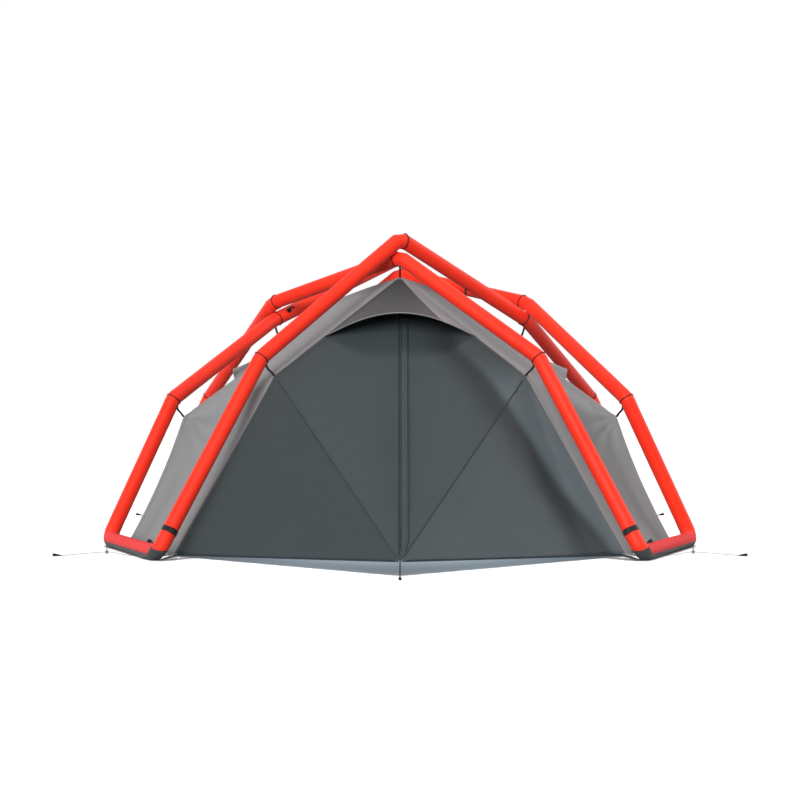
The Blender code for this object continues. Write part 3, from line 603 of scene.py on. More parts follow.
def make_guys(routes):
    for name, stops in routes.items():
        dark = name[:6] == "bridle" or name == "guy_porch"
        radius = PORCH_GUY_R if name == "guy_porch" else GUY_R
        route = smooth_route(stops, 0.010)
        curve = bpy.data.curves.new("line_" + name, "CURVE")
        curve.dimensions = "3D"
        curve.bevel_depth = radius
        curve.bevel_resolution = 3
        curve.use_fill_caps = True
        line = curve.splines.new("POLY")
        line.points.add(len(route) - 1)
        for point, spot in zip(line.points, route):
            point.co = (*(spot + CENTRE), 1.0)
        curve.materials.append(DARK_BRAID if dark else PALE_BRAID)
        piece = settle(placed("line_" + name, curve), name)


GUY_ROUTES, PEGS = guy_routes()
make_guys(GUY_ROUTES)

# ---- air tubes

# Each arch goes over one tube and under the next: (first foot, first crossing, second crossing, last foot).
ARCHES = {
    "a": (("front", "left"), ("over", "front"), ("under", "right"), ("rear", "right")),
    "b": (("front", "right"), ("under", "front"), ("over", "left"), ("rear", "left")),
    "c": (("rear", "right"), ("over", "rear"), ("under", "left"), ("front", "left")),
    "d": (("rear", "left"), ("under", "rear"), ("over", "right"), ("front", "right")),
}
HALF = FOOT_STEPS // 2


def cut_corner(before, corner, after, cut):
    """The two points where a flattened bend leaves its straight runs, with the bend's middle between."""
    start = corner + unit(before - corner) * cut
    end = corner + unit(after - corner) * cut
    return [start, (start + end) / 2, end]


def round_corner(before, corner, after, radius, steps):
    """Points of a circular bend between the two runs that meet at a corner."""
    arrive, leave = unit(corner - before), unit(after - corner)
    turn = math.acos(float(arrive @ leave))
    start = corner - arrive * radius * math.tan(turn / 2)
    side = unit(leave - arrive * math.cos(turn))
    angles = [turn * k / steps for k in range(steps + 1)]
    return [start + radius * (arrive * math.sin(a) + side * (1 - math.cos(a))) for a in angles]


def tube_rings(path, first_normal=None, last_normal=None):
    """One ring a path point, on the plane that halves the bend there: straight runs keep their width."""
    runs = [unit(b - a) for a, b in zip(path, path[1:])]
    across = unit(np.cross(runs[0], UP))
    angles = 2 * math.pi * (np.arange(TUBE_SIDES) + 0.5) / TUBE_SIDES
    rings = []
    for i, point in enumerate(path):
        run = runs[min(i, len(runs) - 1)]
        if i and i < len(runs):
            turn = np.cross(runs[i - 1], run)
            sine = np.linalg.norm(turn)
            if sine > 1e-9:
                across = rotate(across, turn / sine, math.atan2(sine, float(runs[i - 1] @ run)))
        plane = unit(runs[max(i - 1, 0)] + run)
        if i == 0 and first_normal is not None:
            plane = first_normal
        if i == len(path) - 1 and last_normal is not None:
            plane = last_normal
        arms = TUBE_R * spokes(angles, across, np.cross(run, across))
        ring = point + arms - run * (arms @ plane)[:, None] / float(run @ plane)
        uphill = UP - plane * plane[2]
        rings.append(ring - np.minimum(ring[:, 2:], 0.0) * uphill / uphill[2])
    return rings


def stations_of(rings):
    """How far along its tube each ring is."""
    middles = np.array([ring.mean(axis=0) for ring in rings])
    return middles, np.concatenate([[0.0], np.cumsum(lengths(np.diff(middles, axis=0)))])


def finer(rings, spacing, mitres):
    """More rings along each run, closer near its mitres, and each ring's distance from the nearest mitre."""
    made, distances = [], []
    stations = stations_of(rings)[1]

    def near(station):
        return min((abs(station - stations[k]) for k in mitres), default=1.0)

    for low, high, here, there in zip(rings, rings[1:], stations, stations[1:]):
        share = 0.0
        while share < 1.0:
            away = near(here + share * (there - here))
            made.append(low + (high - low) * share)
            distances.append(away)
            step = min(spacing, MITRE_STEP["least"] + away * MITRE_STEP["growth"])
            share += step / (there - here)
    return made + [rings[-1]], distances + [near(stations[-1])]


def pucker(rings, distances, phase):
    """Gathers the sleeve into small creases where it is sewn at a mitre."""
    angles = circle(TUBE_SIDES)
    made = []
    for ring, distance in zip(rings, distances):
        arms = ring - ring.mean(axis=0)
        beat = 0.6 + 0.4 * np.sin(3 * angles + 2 * phase)
        wave = 0.5 - 0.5 * np.cos(PUCKER["count"] * angles + phase + 2 * np.sin(2 * angles + phase))
        depth = PUCKER["depth"] * math.exp(-distance / PUCKER["fade"]) * wave * beat
        made.append(ring - unit(arms) * np.where(ring[:, 2] < 0.002, 0.0, depth)[:, None])
    return made


def foot_bend(foot):
    """The round bend from the leg down into the ground tube, as one list from the leg to the ground."""
    kind, row, side = foot
    other = "side_foot" if kind == "end_foot" else "end_foot"
    knee = kind.replace("foot", "knee")
    return round_corner(FRAME[knee, row, side], FRAME[foot], FRAME[other, row, side], FOOT_BEND, FOOT_STEPS)


def bend_normal(bend):
    """The way a foot bend runs at its middle, where the leg's sleeve is sewn to the ground tube's."""
    return unit(bend[HALF + 1] - bend[HALF - 1])


def arch_runs(arch):
    """The axis of an arch's three sleeves: name to (path, mitre at its foot, indices of the other mitres)."""
    first, crossing_1, crossing_2, last = ARCHES[arch]
    bend_1, bend_2 = foot_bend(("end_foot", *first)), foot_bend(("side_foot", *last))
    names = (("end_foot", *first), ("end_knee", *first), crossing_1, crossing_2, ("side_knee", *last))
    stops = [FRAME[name] for name in (*names, ("side_foot", *last))]
    cuts = (KNEE_CUT, BEND_CUT, BEND_CUT, KNEE_CUT)
    corners = zip(stops, stops[1:], stops[2:], cuts)
    knee_1, top_1, top_2, knee_2 = (cut_corner(*corner) for corner in corners)
    leg_1 = bend_1[HALF::-1] + knee_1[:2]
    leg_2 = bend_2[HALF::-1] + knee_2[:0:-1]
    return {
        "leg_" + "_".join(first): (leg_1, -bend_normal(bend_1), [len(leg_1) - 1]),
        "span": (knee_1[1:] + top_1 + top_2 + knee_2[:2], None, [0, 4, 5, 9]),
        "leg_" + "_".join(last): (leg_2, -bend_normal(bend_2), [len(leg_2) - 1]),
    }


def ring_cord(ring):
    """The piping that runs round a tube along one of its rings."""
    outward = unit(ring - ring.mean(axis=0))
    line = ring + outward * PIPING_LIFT
    aside = np.cross(unit(np.roll(line, -1, axis=0) - np.roll(line, 1, axis=0)), outward)
    rows = [line + PIPING_R * (math.cos(a) * outward + math.sin(a) * aside) for a in circle(8)]
    return np.array(rows + rows[:1])


def make_sleeve(node, rings, material, sharp=60.0):
    ringed("sleeve_" + node, rings, material, node, sharp=sharp)


def make_arches():
    for number, arch in enumerate(ARCHES):
        for piece, (path, foot_normal, mitres) in arch_runs(arch).items():
            rings = tube_rings(path, first_normal=foot_normal)
            if piece == "span":
                cords = [ring_cord(rings[k]) for k in mitres]
            creased = pucker(*finer(rings, RING_SPACING, mitres), 1.3 * number + len(piece))
            make_sleeve(f"arch_{arch}_{piece}", creased, RED_CLOTH, 70.0)
        settle(join_grids(f"piping_arch_{arch}", cords, PIPING, closed=True))


def make_ground_tubes():
    for row, _, side, _ in CORNERS:
        end, far = foot_bend(("end_foot", row, side)), foot_bend(("side_foot", row, side))
        rings = tube_rings(end[HALF:] + far[HALF:][::-1], bend_normal(end), -bend_normal(far))
        fine = finer(rings, RING_SPACING, [])[0]
        make_sleeve(f"ground_tube_{row}_{side}", fine, GROUND_CLOTH)


PATCH_LIFT = 0.0011
PATCH_SIDE = 82.5
PATCH_TOE = 50.0
PATCH_TOE_LENGTH = 0.034
PATCH_UP_LEG = 0.036


def patch_reach(station, length):
    """How far round a tube the patch goes, in degrees from its underside: outwards, inwards.

    station runs along the ground tube's axis, from below 0 on the front leg to past length on the side leg.
    """
    past = max(-station, station - length)
    if past <= 0:
        toe = max(0.0, 1 - station / PATCH_TOE_LENGTH) ** 1.2
        return PATCH_SIDE + PATCH_TOE * toe, PATCH_SIDE
    share = min(1.0, past / PATCH_UP_LEG)
    top = PATCH_SIDE + (PATCH_TOE if station < 0 else 0.0)
    return top * (1 - share) ** 1.3 + 8, PATCH_SIDE * (1 - share) ** 1.5 + 4


def make_patches():
    """The dark abrasion cloth under each ground tube, pointed where it climbs the bend at either end."""
    for row, along, side, across in CORNERS:
        legs = []
        for kind in ("end", "side"):
            foot = FRAME[kind + "_foot", row, side]
            bend = foot_bend((kind + "_foot", row, side))
            legs.append([bend[0] + unit(FRAME[kind + "_knee", row, side] - foot) * PATCH_UP_LEG] + bend)
        rings = finer(tube_rings(legs[0] + legs[1][::-1]), 0.008, [])[0]
        middles, stations = stations_of(rings)
        half = PATCH_UP_LEG + FOOT_BEND * 0.84
        grid = []
        for k, ring in enumerate(rings):
            run = unit(middles[min(k + 1, len(rings) - 1)] - middles[max(k - 1, 0)])
            down = unit(-UP + run * run[2])
            arms = ring - middles[k]
            angles = np.degrees(np.arctan2(arms @ np.cross(run, down) * across * along, arms @ down))
            reach_out, reach_in = patch_reach(stations[k] - half, stations[-1] - 2 * half)
            wanted = np.linspace(-reach_in, reach_out, 27)
            lifted = arms + unit(arms) * PATCH_LIFT
            spots = [np.interp(wanted, angles, part, period=360) for part in lifted.T]
            grid.append(middles[k] + np.transpose(spots))
        grid = np.array(grid)
        grid[:, :, 2] = np.maximum(grid[:, :, 2], 0.0)
        piece = settle(cloth_object(f"patch_{row}_{side}", grid, -UP, PATCH_CLOTH))


make_arches()
make_ground_tubes()
make_patches()

# ---- flysheet


def inward(point, level=False):
    way = np.array(FLY_CENTRE) - point
    if level:
        way[2] = 0.0
    return unit(way)


def fly_edge(start, end, sag=0.0, level=False, crest=2.0):
    """A seam or hem between two corners, drawn in by sag at its middle. A crest near 1 makes that sharp."""
    way = inward((start + end) / 2, level)

    def at(t):
        t = np.asarray(t, float)[..., None]
        return blend(start, end, t) + way * sag * (1 - abs(2 * t - 1) ** crest)

    return at


def roof_seam(first, second):
    """The seam between two crossings, lifted at its middle by the strap that hangs from the tube above."""
    return fly_edge(FLY["peak", first], FLY["peak", second], -ROOF_LIFT, crest=ROOF_CREST)


def patch(low, high, left, right, belly, across, up):
    """A grid of points between four edges. Low and high run the same way, left and right run upwards."""
    corners = [edge(t) for edge in (low, high) for t in (0.0, 1.0)]
    u, v = across_grid(across), down_grid(0.0, 1.0, up)
    ruled = blend(low(u[0, :, 0])[None], high(u[0, :, 0])[None], v)
    ruled = ruled + blend(left(v[:, 0, 0])[:, None], right(v[:, 0, 0])[:, None], u)
    flat = blend(blend(*corners[:2], u), blend(*corners[2:], u), v)
    return ruled - flat + inward(sum(corners) / 4) * belly * 16 * u * (1 - u) * v * (1 - v)


def softened(grid):
    """The grid with its creases relaxed, its outline left where it is."""
    for _ in range(12):
        inner = grid[:-2, 1:-1] + grid[2:, 1:-1] + grid[1:-1, :-2] + grid[1:-1, 2:]
        grid[1:-1, 1:-1] = grid[1:-1, 1:-1] * 0.5 + inner * 0.125
    return grid


def fan(grid, corner, towards, count, reach, height, phase=0.0):
    """Heights of tension folds that fan out from a pulled corner and die away within reach."""
    arms = grid - corner
    distance = lengths(arms)
    ahead = unit(towards - corner)
    normal = unit(surface_normals(grid).mean(axis=(0, 1)))
    angle = np.arctan2(arms @ np.cross(normal, ahead), arms @ ahead)
    fade = np.exp(-distance / reach) * smooth_step(distance / (0.12 * reach))
    return height * fade * np.cos(count * angle + phase + 0.6 * np.sin(3 * distance / reach + phase))


def ripple(grid, seed, height):
    """Slow uneven undulation, the sum of a few waves whose directions come from the seed."""
    picks = np.random.default_rng(seed)
    total = np.zeros(grid.shape[:2])
    for length in RIPPLES:
        turns = grid @ unit(picks.normal(size=3)) * 2 * math.pi / length + picks.uniform(0, 6.28)
        total += height * length / RIPPLES[0] * np.sin(turns)
    return total


def raised(grid, heights, margin=0.12):
    """The grid moved along its normals by heights, fading within the margin so that its edges stay."""
    rows, cols = grid.shape[:2]
    u, v = across_grid(cols - 1), down_grid(0.0, 1.0, rows - 1)
    window = smooth_step(np.minimum(u, 1 - u) / margin) * smooth_step(np.minimum(v, 1 - v) / margin)
    return grid + surface_normals(grid) * heights[:, :, None] * window


def edge_column(grid, spot):
    """The index of the outer column whose first row starts nearest a point."""
    first, last = (np.linalg.norm(grid[0, k] - spot) for k in (0, -1))
    return 0 if first < last else grid.shape[1] - 1


def inset(grid, column, distance):
    """The line that runs that far inside one of the outer columns, with the surface's normals along it."""
    inner = column + (3 if column == 0 else -3)
    way, normals = unit(grid[:, inner] - grid[:, column]), surface_normals(grid)
    return grid[:, column] + way * distance, (normals[:, column] + normals[:, inner]) / 2


def wall_and_roof(feet, knees, peaks, crest, sags, steps):
    """A wall from its hem to the eave and the roof from there to the crest, as one grid."""
    hem, eave = fly_edge(*feet, HEM_SAG, level=True), fly_edge(*knees, EAVE_SAG)
    sides = [fly_edge(*edge) for edge in zip(feet, knees, sags)]
    wall = patch(hem, eave, *sides, WALL_BELLY, steps[0], steps[1])
    sides = [fly_edge(*edge) for edge in zip(knees, peaks)]
    roof = patch(eave, crest, *sides, ROOF_BELLY, steps[0], steps[2])
    pointed = peaks[0] is peaks[1]
    return softened(np.concatenate([wall, roof[1 : len(roof) - pointed]]))


def make_panel(node, grid, outside, look=FLY_LOOK, **shell):
    """A cloth panel in its node's place."""
    return settle(cloth_object("cloth_" + node, grid, outside, look[0], **shell), node)


SIDE_GROOVE = {"at": 0.075, "wide": 0.045, "deep": 0.010}
TOGGLE_SIZE = {"radius": 0.0058, "half": 0.017, "sides": 12}


def make_corner(row, side):
    end_foot, side_foot, end_knee, side_knee = (
        FLY[kind, row, side] for kind in ("end_foot", "side_foot", "end_knee", "side_knee")
    )
    feet, knees = (end_foot, side_foot), (end_knee, side_knee)
    peaks, sags = (FLY["peak", row], FLY["peak", side]), (FRONT_EDGE_SAG, WALL_EDGE_SAG)
    outside = (end_knee + side_knee) * (1, 1, 0)
    grid = facing(wall_and_roof(feet, knees, peaks, roof_seam(row, side), sags, (48, 56, 48)), outside)
    folds = fan(grid, side_knee, end_foot, 9, 0.22, FOLD)
    folds += fan(grid, end_knee, side_foot, 8, 0.20, FOLD, 1.0)
    column = edge_column(grid, side_foot)
    away = lengths(grid - grid[:, column : column + 1])
    low = smooth_step((1.15 * side_knee[2] - grid[:, :, 2]) / (0.25 * side_knee[2]))
    groove = SIDE_GROOVE["deep"] * np.exp(-(((away - SIDE_GROOVE["at"]) / SIDE_GROOVE["wide"]) ** 2)) * low
    grid = raised(grid, folds + ripple(grid, len(row) * 7 + len(side), RIPPLE) - groove, 0.05)
    piece, sewn = make_panel(f"fly_corner_{row}_{side}", grid, outside), []
    for label, spot in (("side", side_foot), ("end", end_foot)):
        line, normals = inset(grid, edge_column(grid, spot), PALE_WIDTH * 0.62)
        name = f"tape_{label}_{row}_{side}"
        sewn.append(tape(name, line[:-2], normals[:-2], PALE_WIDTH, TAPE_LOOK))
    sewn.append(make_foot_tab(row, side, end_foot))


def make_foot_tab(row, side, corner):
    """The tapering tab that ties the fly's foot corner to the bend of the ground tube, with its toggle."""
    foot = FRAME["end_foot", row, side]
    way = unit((foot - corner) * (1, 1, 0))
    aside = np.array([-way[1], way[0], 0.0])
    stops = [corner - way * 0.02 + (0, 0, 0.010), corner + way * 0.05 + (0, 0, 0.008)]
    line = np.array(smooth_route(stops + [foot - way * 0.040 + (0, 0, -0.018)], 0.006))
    normals = np.tile(unit(UP - way * 0.4), (len(line), 1))
    widths = np.linspace(0.060, 0.018, len(line))[:, None, None]
    tab = tape(f"foot_tab_{row}_{side}", line, normals, widths, FLY_LOOK, lift=0.0012)
    middle = foot - way * 0.056 + (0, 0, -0.010)
    rings = []
    for share in np.linspace(-1.0, 1.0, 15):
        radius = TOGGLE_SIZE["radius"] * math.sqrt(max(0.04, 1 - share**6)) * (0.86 + 0.14 * share**2)
        spot = middle + aside * share * TOGGLE_SIZE["half"]
        rings.append(spot + radius * spokes(circle(TOGGLE_SIZE["sides"]), way, UP))
    ringed(f"toggle_{row}_{side}", rings, TOGGLE)
    return tab


def make_gables():
    """The panels between two feet and two knees and up to one peak: both sides and the rear."""
    jobs = [("side", side, ROWS, (across, 0, 0), WALL_EDGE_SAG) for side, across in SIDES]
    jobs.append(("end", "rear", SIDES, (0, 1, 0), FRONT_EDGE_SAG))
    for number, (kind, spot, others, outside, sag) in enumerate(jobs):
        node = "fly_rear" if spot == "rear" else "fly_side_" + spot
        places = [(other, spot) if kind == "side" else (spot, other) for other, _ in others]
        feet, knees = ([FLY[kind + joint, *place] for place in places] for joint in ("_foot", "_knee"))
        peak = FLY["peak", spot]
        grid = wall_and_roof(feet, knees, (peak, peak), fly_edge(peak, peak), (sag, sag), (60, 48, 40))
        grid = facing(grid, outside)
        folds = sum(fan(grid, *pull, 9, 0.20, FOLD) for pull in zip(knees, feet[::-1]))
        grid = raised(grid, folds + ripple(grid, 40 + number, RIPPLE), 0.08)
        piece = make_panel(node, grid, outside)
        hem = tape("tape_hem_" + node, grid[1], surface_normals(grid)[1], PALE_WIDTH, TAPE_LOOK)


def make_roof():
    pairs = (("front", "left"), ("right", "rear"), ("front", "right"), ("left", "rear"))
    grid = facing(patch(*(roof_seam(*pair) for pair in pairs), ROOF_BELLY, 56, 56), UP)
    grid = raised(grid, ripple(grid, 60, RIPPLE))
    make_panel("fly_roof", grid, UP)


for corner_row, _, corner_side, _ in CORNERS:
    make_corner(corner_row, corner_side)
make_gables()
make_roof()

# ---- porch


def leaf_grid(side):
    """A porch leaf: columns go from the peak by the knee to the foot, rows from that edge to the tip."""
    stops = [FLY["peak", "front"], FLY["end_knee", "front", side], FLY["end_foot", "front", side]]
    down, share = down_grid(0.0, LEAF_TO, 64), across_grid(30)
    halves = []
    for start, end, edge_sag in zip(stops, stops[1:], (0.0, FRONT_EDGE_SAG)):
        edge = fly_edge(start, end, edge_sag)(share[0, :, 0])[None]
        normal = pointing(unit(np.cross(end - start, PORCH_TIP - start)), FORWARD)
        sag = LEAF_SAG * np.sin(math.pi * share) * np.sin(math.pi * down) ** 2
        halves.append(blend(edge, PORCH_TIP, down) - normal * sag)
    return np.concatenate([halves[0], halves[1][:, 1:]], axis=1)


# The soft hollow down the right leaf and the painted shade over it: (height, across) of its middle line, and
# how it shows, with dark the painted shadow in the hollow, light the painted light past it and ridge the
# painted light on the outer facet.
BAND_LINE = ((0.00, 0.985), (0.08, 0.930), (0.32, 0.735), (0.56, 0.592), (0.85, 0.400), (1.02, 0.240))
HOLLOW_AND_PAINTED_SHADE = {"soft": 0.100, "deep": 0.008, "dark": 0.52, "light": 1.15, "ridge": 0.40}


def trough(grid):
    """How deep in the soft hollow down the right leaf, and how far past it, each point is, both up to 1. The
    first also sets the painted shadow there, the second the painted light.
    """
    heights, middles = np.array(BAND_LINE).T
    away = grid[:, :, 0] - np.interp(grid[:, :, 2], heights, middles)
    past = smooth_step((away - 0.02) / 0.06)
    hollow = np.exp(-((np.minimum(away, 0.0) / HOLLOW_AND_PAINTED_SHADE["soft"]) ** 2)) * (1 - past)
    return hollow, past * smooth_step((1.0 - grid[:, :, 2]) / 0.25)


def make_leaves():
    for side, across in SIDES:
        grid = facing(leaf_grid(side), FORWARD)
        knee, foot = FLY["end_knee", "front", side], FLY["end_foot", "front", side]
        heights = fan(grid, knee, PORCH_TIP, 11, 0.25, 0.0035, 0.4 * across)
        heights += ripple(grid, 80 + across, 0.0025)
        shade = np.zeros(grid.shape[:2])
        outer, middle = edge_column(grid, foot), grid.shape[1] // 2
        if across == RIGHT:
            hollow, past = trough(grid)
            heights += fan(grid, knee, (foot + PORCH_TIP) / 2, 17, 0.38, 0.003, 0.9) - HOLLOW_AND_PAINTED_SHADE["deep"] * hollow
            # Painted shade on the right leaf: a painted shadow in the hollow, painted light past it, and
            # painted light on its outer facet.
            painted_lit_facet = smooth_step((1 if outer else -1) * (np.arange(grid.shape[1]) - middle) + 0.5)
            shade = HOLLOW_AND_PAINTED_SHADE["ridge"] * painted_lit_facet * (1 - past) * (1 - hollow)
            shade += HOLLOW_AND_PAINTED_SHADE["light"] * past - HOLLOW_AND_PAINTED_SHADE["dark"] * hollow
        grid = raised(grid, heights, 0.06)
        piece = make_panel("door_" + side, grid, FORWARD, DOOR_LOOK)
        paint_shade_points(piece, shade)
        ridge = grid[:, middle], surface_normals(grid)[:, middle]
        hem, zipped = (inset(grid, k, SEAM_WIDTH * 0.6) for k in (outer, grid.shape[1] - 1 - outer))
        lines = {
            "ridge": (ridge, 2, RIDGE_WIDTH, (RIDGE_CLOTH, "door_cloth")),
            "hem": (hem, 0, SEAM_WIDTH, SEAM_LOOK),
            "zip": (zipped, 6, SEAM_WIDTH, SEAM_LOOK),
        }
        seams = [
            tape(f"seam_{label}_{side}", line[first:-1], ways[first:-1], width, look, lift=0.0014)
            for label, ((line, ways), first, width, look) in lines.items()
        ]


def make_zip_flap():
    peak = FLY["peak", "front"]
    normal = np.cross(FLY["end_knee", "front", "right"] - peak, PORCH_TIP - peak)
    normal = pointing(unit(normal), FORWARD)
    sideways = pointing(unit(np.cross(PORCH_TIP - peak, normal)), (1, 0, 0))
    share, across = down_grid(*FLAP_SPAN, 89), across_grid(8)
    spine = blend(peak, PORCH_TIP, share) + normal * FLAP_RISE
    width = FLAP_WIDTH * np.minimum(1.0, 12.0 * (1.0 - share) + 0.25)
    crown = 0.0012 * np.sin(math.pi * across) + 0.0006 * np.sin(share * 60 + 3 * across)
    grid = facing(spine + sideways * width * across + normal * crown, FORWARD)
    normals = surface_normals(grid)
    piece = make_panel("door_zip_flap", grid, FORWARD, DOOR_LOOK, offset=1.0)
    seams = [
        tape("seam_flap_" + label, grid[2:-2, k], normals[2:-2, k], 0.005, SEAM_LOOK, 0.0026, 0.0003)
        for label, k in (("sewn", 1), ("free", 7))
    ]


make_leaves()
make_zip_flap()

# ---- hoods

HOOD_TAPE = {"width": 0.010, "lift": 0.0026}
LAP_SHARE = 0.79
LAP_RISE = 0.0022
HOOD_STEPS = {"across": 60, "down": 40}


def hood_grid(peak, ends, middle):
    u, v = across_grid(HOOD_STEPS["across"]), down_grid(HOOD_START, 1.0, HOOD_STEPS["down"])
    start, end = (blend(peak, stop, v) for stop in ends)
    bow = (middle - (ends[0] + ends[1]) / 2) * v**HOOD_SWELL
    return blend(start, end, u) + bow * (4 * u * (1 - u)) ** HOOD_ARCH


def lap_shares(grid):
    """How far towards the front hood's right end each column is."""
    share = np.linspace(0.0, 1.0, grid.shape[1])
    return share[::-1] if grid[-1, 0, 0] > grid[-1, -1, 0] else share


def cover_lap(piece, shares):
    """Gives the lapped end of the front hood the pale roof cloth."""
    piece.data.materials.append(FLY_CLOTH)
    for face in piece.data.polygons:
        if np.mean([shares[v % len(shares)] for v in face.vertices]) > LAP_SHARE:
            face.material_index = 1


def make_hoods():
    peak = FLY["peak", "front"]
    ends = [blend(peak, FLY["end_knee", "front", side], FRONT_HOOD["reach"]) for side, _ in SIDES]
    middle = blend(peak, PORCH_TIP, FRONT_HOOD["down_zip"]) + FRONT_HOOD["out"]
    jobs = [("front", peak, ends, middle, (0.0, -1.0, 1.0), (HOOD_CLOTH, "hood_cloth"))]
    for side, across in SIDES:
        peak = FLY["peak", side]
        ends = [blend(peak, FLY["side_knee", row, side], SIDE_HOOD["reach"]) for row, _ in ROWS]
        middle = (ends[0] + ends[1]) / 2 + np.array(SIDE_HOOD["out"]) * (across, 1, 1)
        jobs.append((side, peak, ends, middle, (across, 0.0, 1.0), FLY_LOOK))
    for spot, peak, ends, middle, outside, look in jobs:
        grid = facing(hood_grid(peak, ends, middle), outside) + np.array(outside) * HOOD_RISE
        shares = lap_shares(grid)
        if spot == "front":
            rise = LAP_RISE * smooth_step((shares - LAP_SHARE + 0.02) / 0.03)
            grid = grid + unit(outside) * rise[None, :, None]
        piece = make_panel("hood_" + spot, grid, outside, look, offset=1.0)
        line, ways = grid[-2], surface_normals(grid)[-2]
        edge = tape("tape_hood_" + spot, line, ways, look=(TAPE_CLOTH, look[1]), **HOOD_TAPE)
        if spot == "front":
            cover_lap(piece, shares)


make_hoods()

# ---- straps and bands

STRAP_THICK = 0.0048
STRAP_SEWN = 0.0020
STRAP_CURVE = 0.16
STRAP_WAVE = (0.75, 0.45)
STRAP_ENDS = (0.0005, 0.0004)  # how far it goes into the tube, and stops short of the fly
STRAP_EDGE = [(-1, -0.55), (-0.9, -1), (0.9, -1), (1, -0.55), (1, 0.55), (0.9, 1), (-0.9, 1), (-1, 0.55)]
BAND_AT = 0.120
BAND_WIDTH = 0.026
BAND_THICK = 0.0018
BAND_EDGE = ((0.0, -1.0), (0.7, -1.0), (1.0, -0.9), (1.0, 0.9), (0.7, 1.0), (0.0, 1.0))
BUCKLE = {"across": 0.036, "rise": 0.0072, "inward": 0.45}
BUCKLE_EDGE = ((0.0, 1.0), (0.55, 1.0), (0.92, 0.86), (1.0, 0.55))


def strap_rings(start, end, face):
    """A webbing strap in a slack S from start to end, thicker where its ends are folded and sewn."""
    length = float(np.linalg.norm(end - start))
    way = (end - start) / length
    face = unit(face - way * float(face @ way))
    wide = np.cross(way, face) * STRAP_WIDTH / 2
    rings = []
    for t in np.linspace(0.0, 1.0, 25):
        waves = [(k * math.pi, STRAP_CURVE * share) for k, share in enumerate(STRAP_WAVE, 1)]
        bend = length * sum(share * math.sin(turn * t) for turn, share in waves)
        slope = sum(share * turn * math.cos(turn * t) for turn, share in waves)
        sewn = min(1.0, abs(t - 0.5) * 2 / 0.7) ** 8
        thick = unit(face - way * slope) * (STRAP_THICK + STRAP_SEWN * sewn) / 2
        middle = start + way * length * t + face * bend
        rings.append([middle + wide * a + thick * b for a, b in STRAP_EDGE])
    return rings


def make_straps():
    jobs = []
    for row, along, side, across in CORNERS:
        for kind in ("end_knee", "side_knee"):
            face = np.array([across * 0.5, along, 0.0])
            jobs.append((f"strap_{kind}_{row}_{side}", FRAME[kind, row, side], FLY[kind, row, side], face))
        first, second = ("over", "under") if across == RIGHT else ("under", "over")
        middle, face = (FRAME[first, row] + FRAME[second, side]) / 2, np.array([0.0, along, 0.3])
        jobs.append((f"strap_roof_{row}_{side}", middle, roof_seam(row, side)(0.5), face))
    for spot in CROSSINGS:
        face = np.array([0.0, 1.0 if spot == "rear" else -1.0, 0.0])
        jobs.append((f"strap_crossing_{spot}", FRAME["under", spot], FLY["peak", spot], face))
    for node, axis_point, corner, face in jobs:
        way = unit(corner - axis_point)
        start, end = axis_point + way * (TUBE_R - STRAP_ENDS[0]), corner - way * STRAP_ENDS[1]
        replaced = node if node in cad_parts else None
        rings = strap_rings(start, end, face)
        ringed("webbing_" + node, rings, WEBBING, replaced, sharp=35.0)


def make_bands():
    inner, half = TUBE_R + GAP, BAND_WIDTH / 2
    for side, across in SIDES:
        foot, knee = FRAME["end_foot", "front", side], FRAME["end_knee", "front", side]
        run = unit(knee - foot)
        aside = unit(np.cross(run, UP))
        up = np.cross(run, aside)
        centre = foot + run * BAND_AT

        def arc(angles, radius, offset):
            return centre + spokes(angles, aside, up) * np.asarray(radius)[..., None] + run * offset

        angles = np.linspace(0.0, 2 * math.pi, 97)
        rings = [arc(angles, np.full(97, inner + BAND_THICK * r), h * half) for r, h in BAND_EDGE]
        band = join_grids(f"webbing_leg_band_{side}", [rings + rings[:1]], WEBBING, sharp=35.0)
        settle(band, f"leg_band_{side}")
        front = np.array([-across * BUCKLE["inward"], -1.0, 0.0])
        stations = np.linspace(-1.0, 1.0, 33)
        angles = math.atan2(float(front @ up), float(front @ aside)) + BUCKLE["across"] / 2 / inner * stations
        bars = 0.0011 * np.cos(stations * math.pi * 3.0) ** 8
        crest = BUCKLE["rise"] * (1 - 0.45 * stations**4) - bars
        reach = half * (1.06 - 0.10 * stations**6)[:, None]
        low = inner + BAND_THICK * 0.6
        edge = [(r, -h) for r, h in BUCKLE_EDGE] + [(r, h) for r, h in BUCKLE_EDGE[::-1]]
        buckle = np.transpose([arc(angles, low + crest * r, reach * h) for r, h in edge], (1, 0, 2))
        ringed(f"buckle_leg_band_{side}", buckle, PLASTIC, sharp=40.0)


make_straps()
make_bands()

# ---- valves, pegs and rings

VALVE_R = 0.013
VALVE_H = 0.017
VALVE_AT = {"foot": 0.25, "crossing": 0.10}
LEASH_R = 0.0032
LEASH_LENGTH = {"foot": 0.052, "crossing": 0.034}
LEASH_BOW = 0.012
LEASH_FROM = 0.64
RING = (0.0062, 0.0021)
PEG_GROOVE = {"at": 0.80, "half": 0.03, "deep": 0.0005}
GRIPS = {"count": 14, "deep": 0.045, "from": 0.5, "to": 0.95}
CAP_PROFILE = ((0.10, 1.00), (0.58, 1.00), (0.70, 0.97), (0.75, 0.90), (0.75, 0.54), (0.70, 0.47))
NECK_PROFILE = ((0.64, 0.45), (0.64, 0.32), (0.90, 0.27), (1.00, 0.20), (1.00, 0.02))


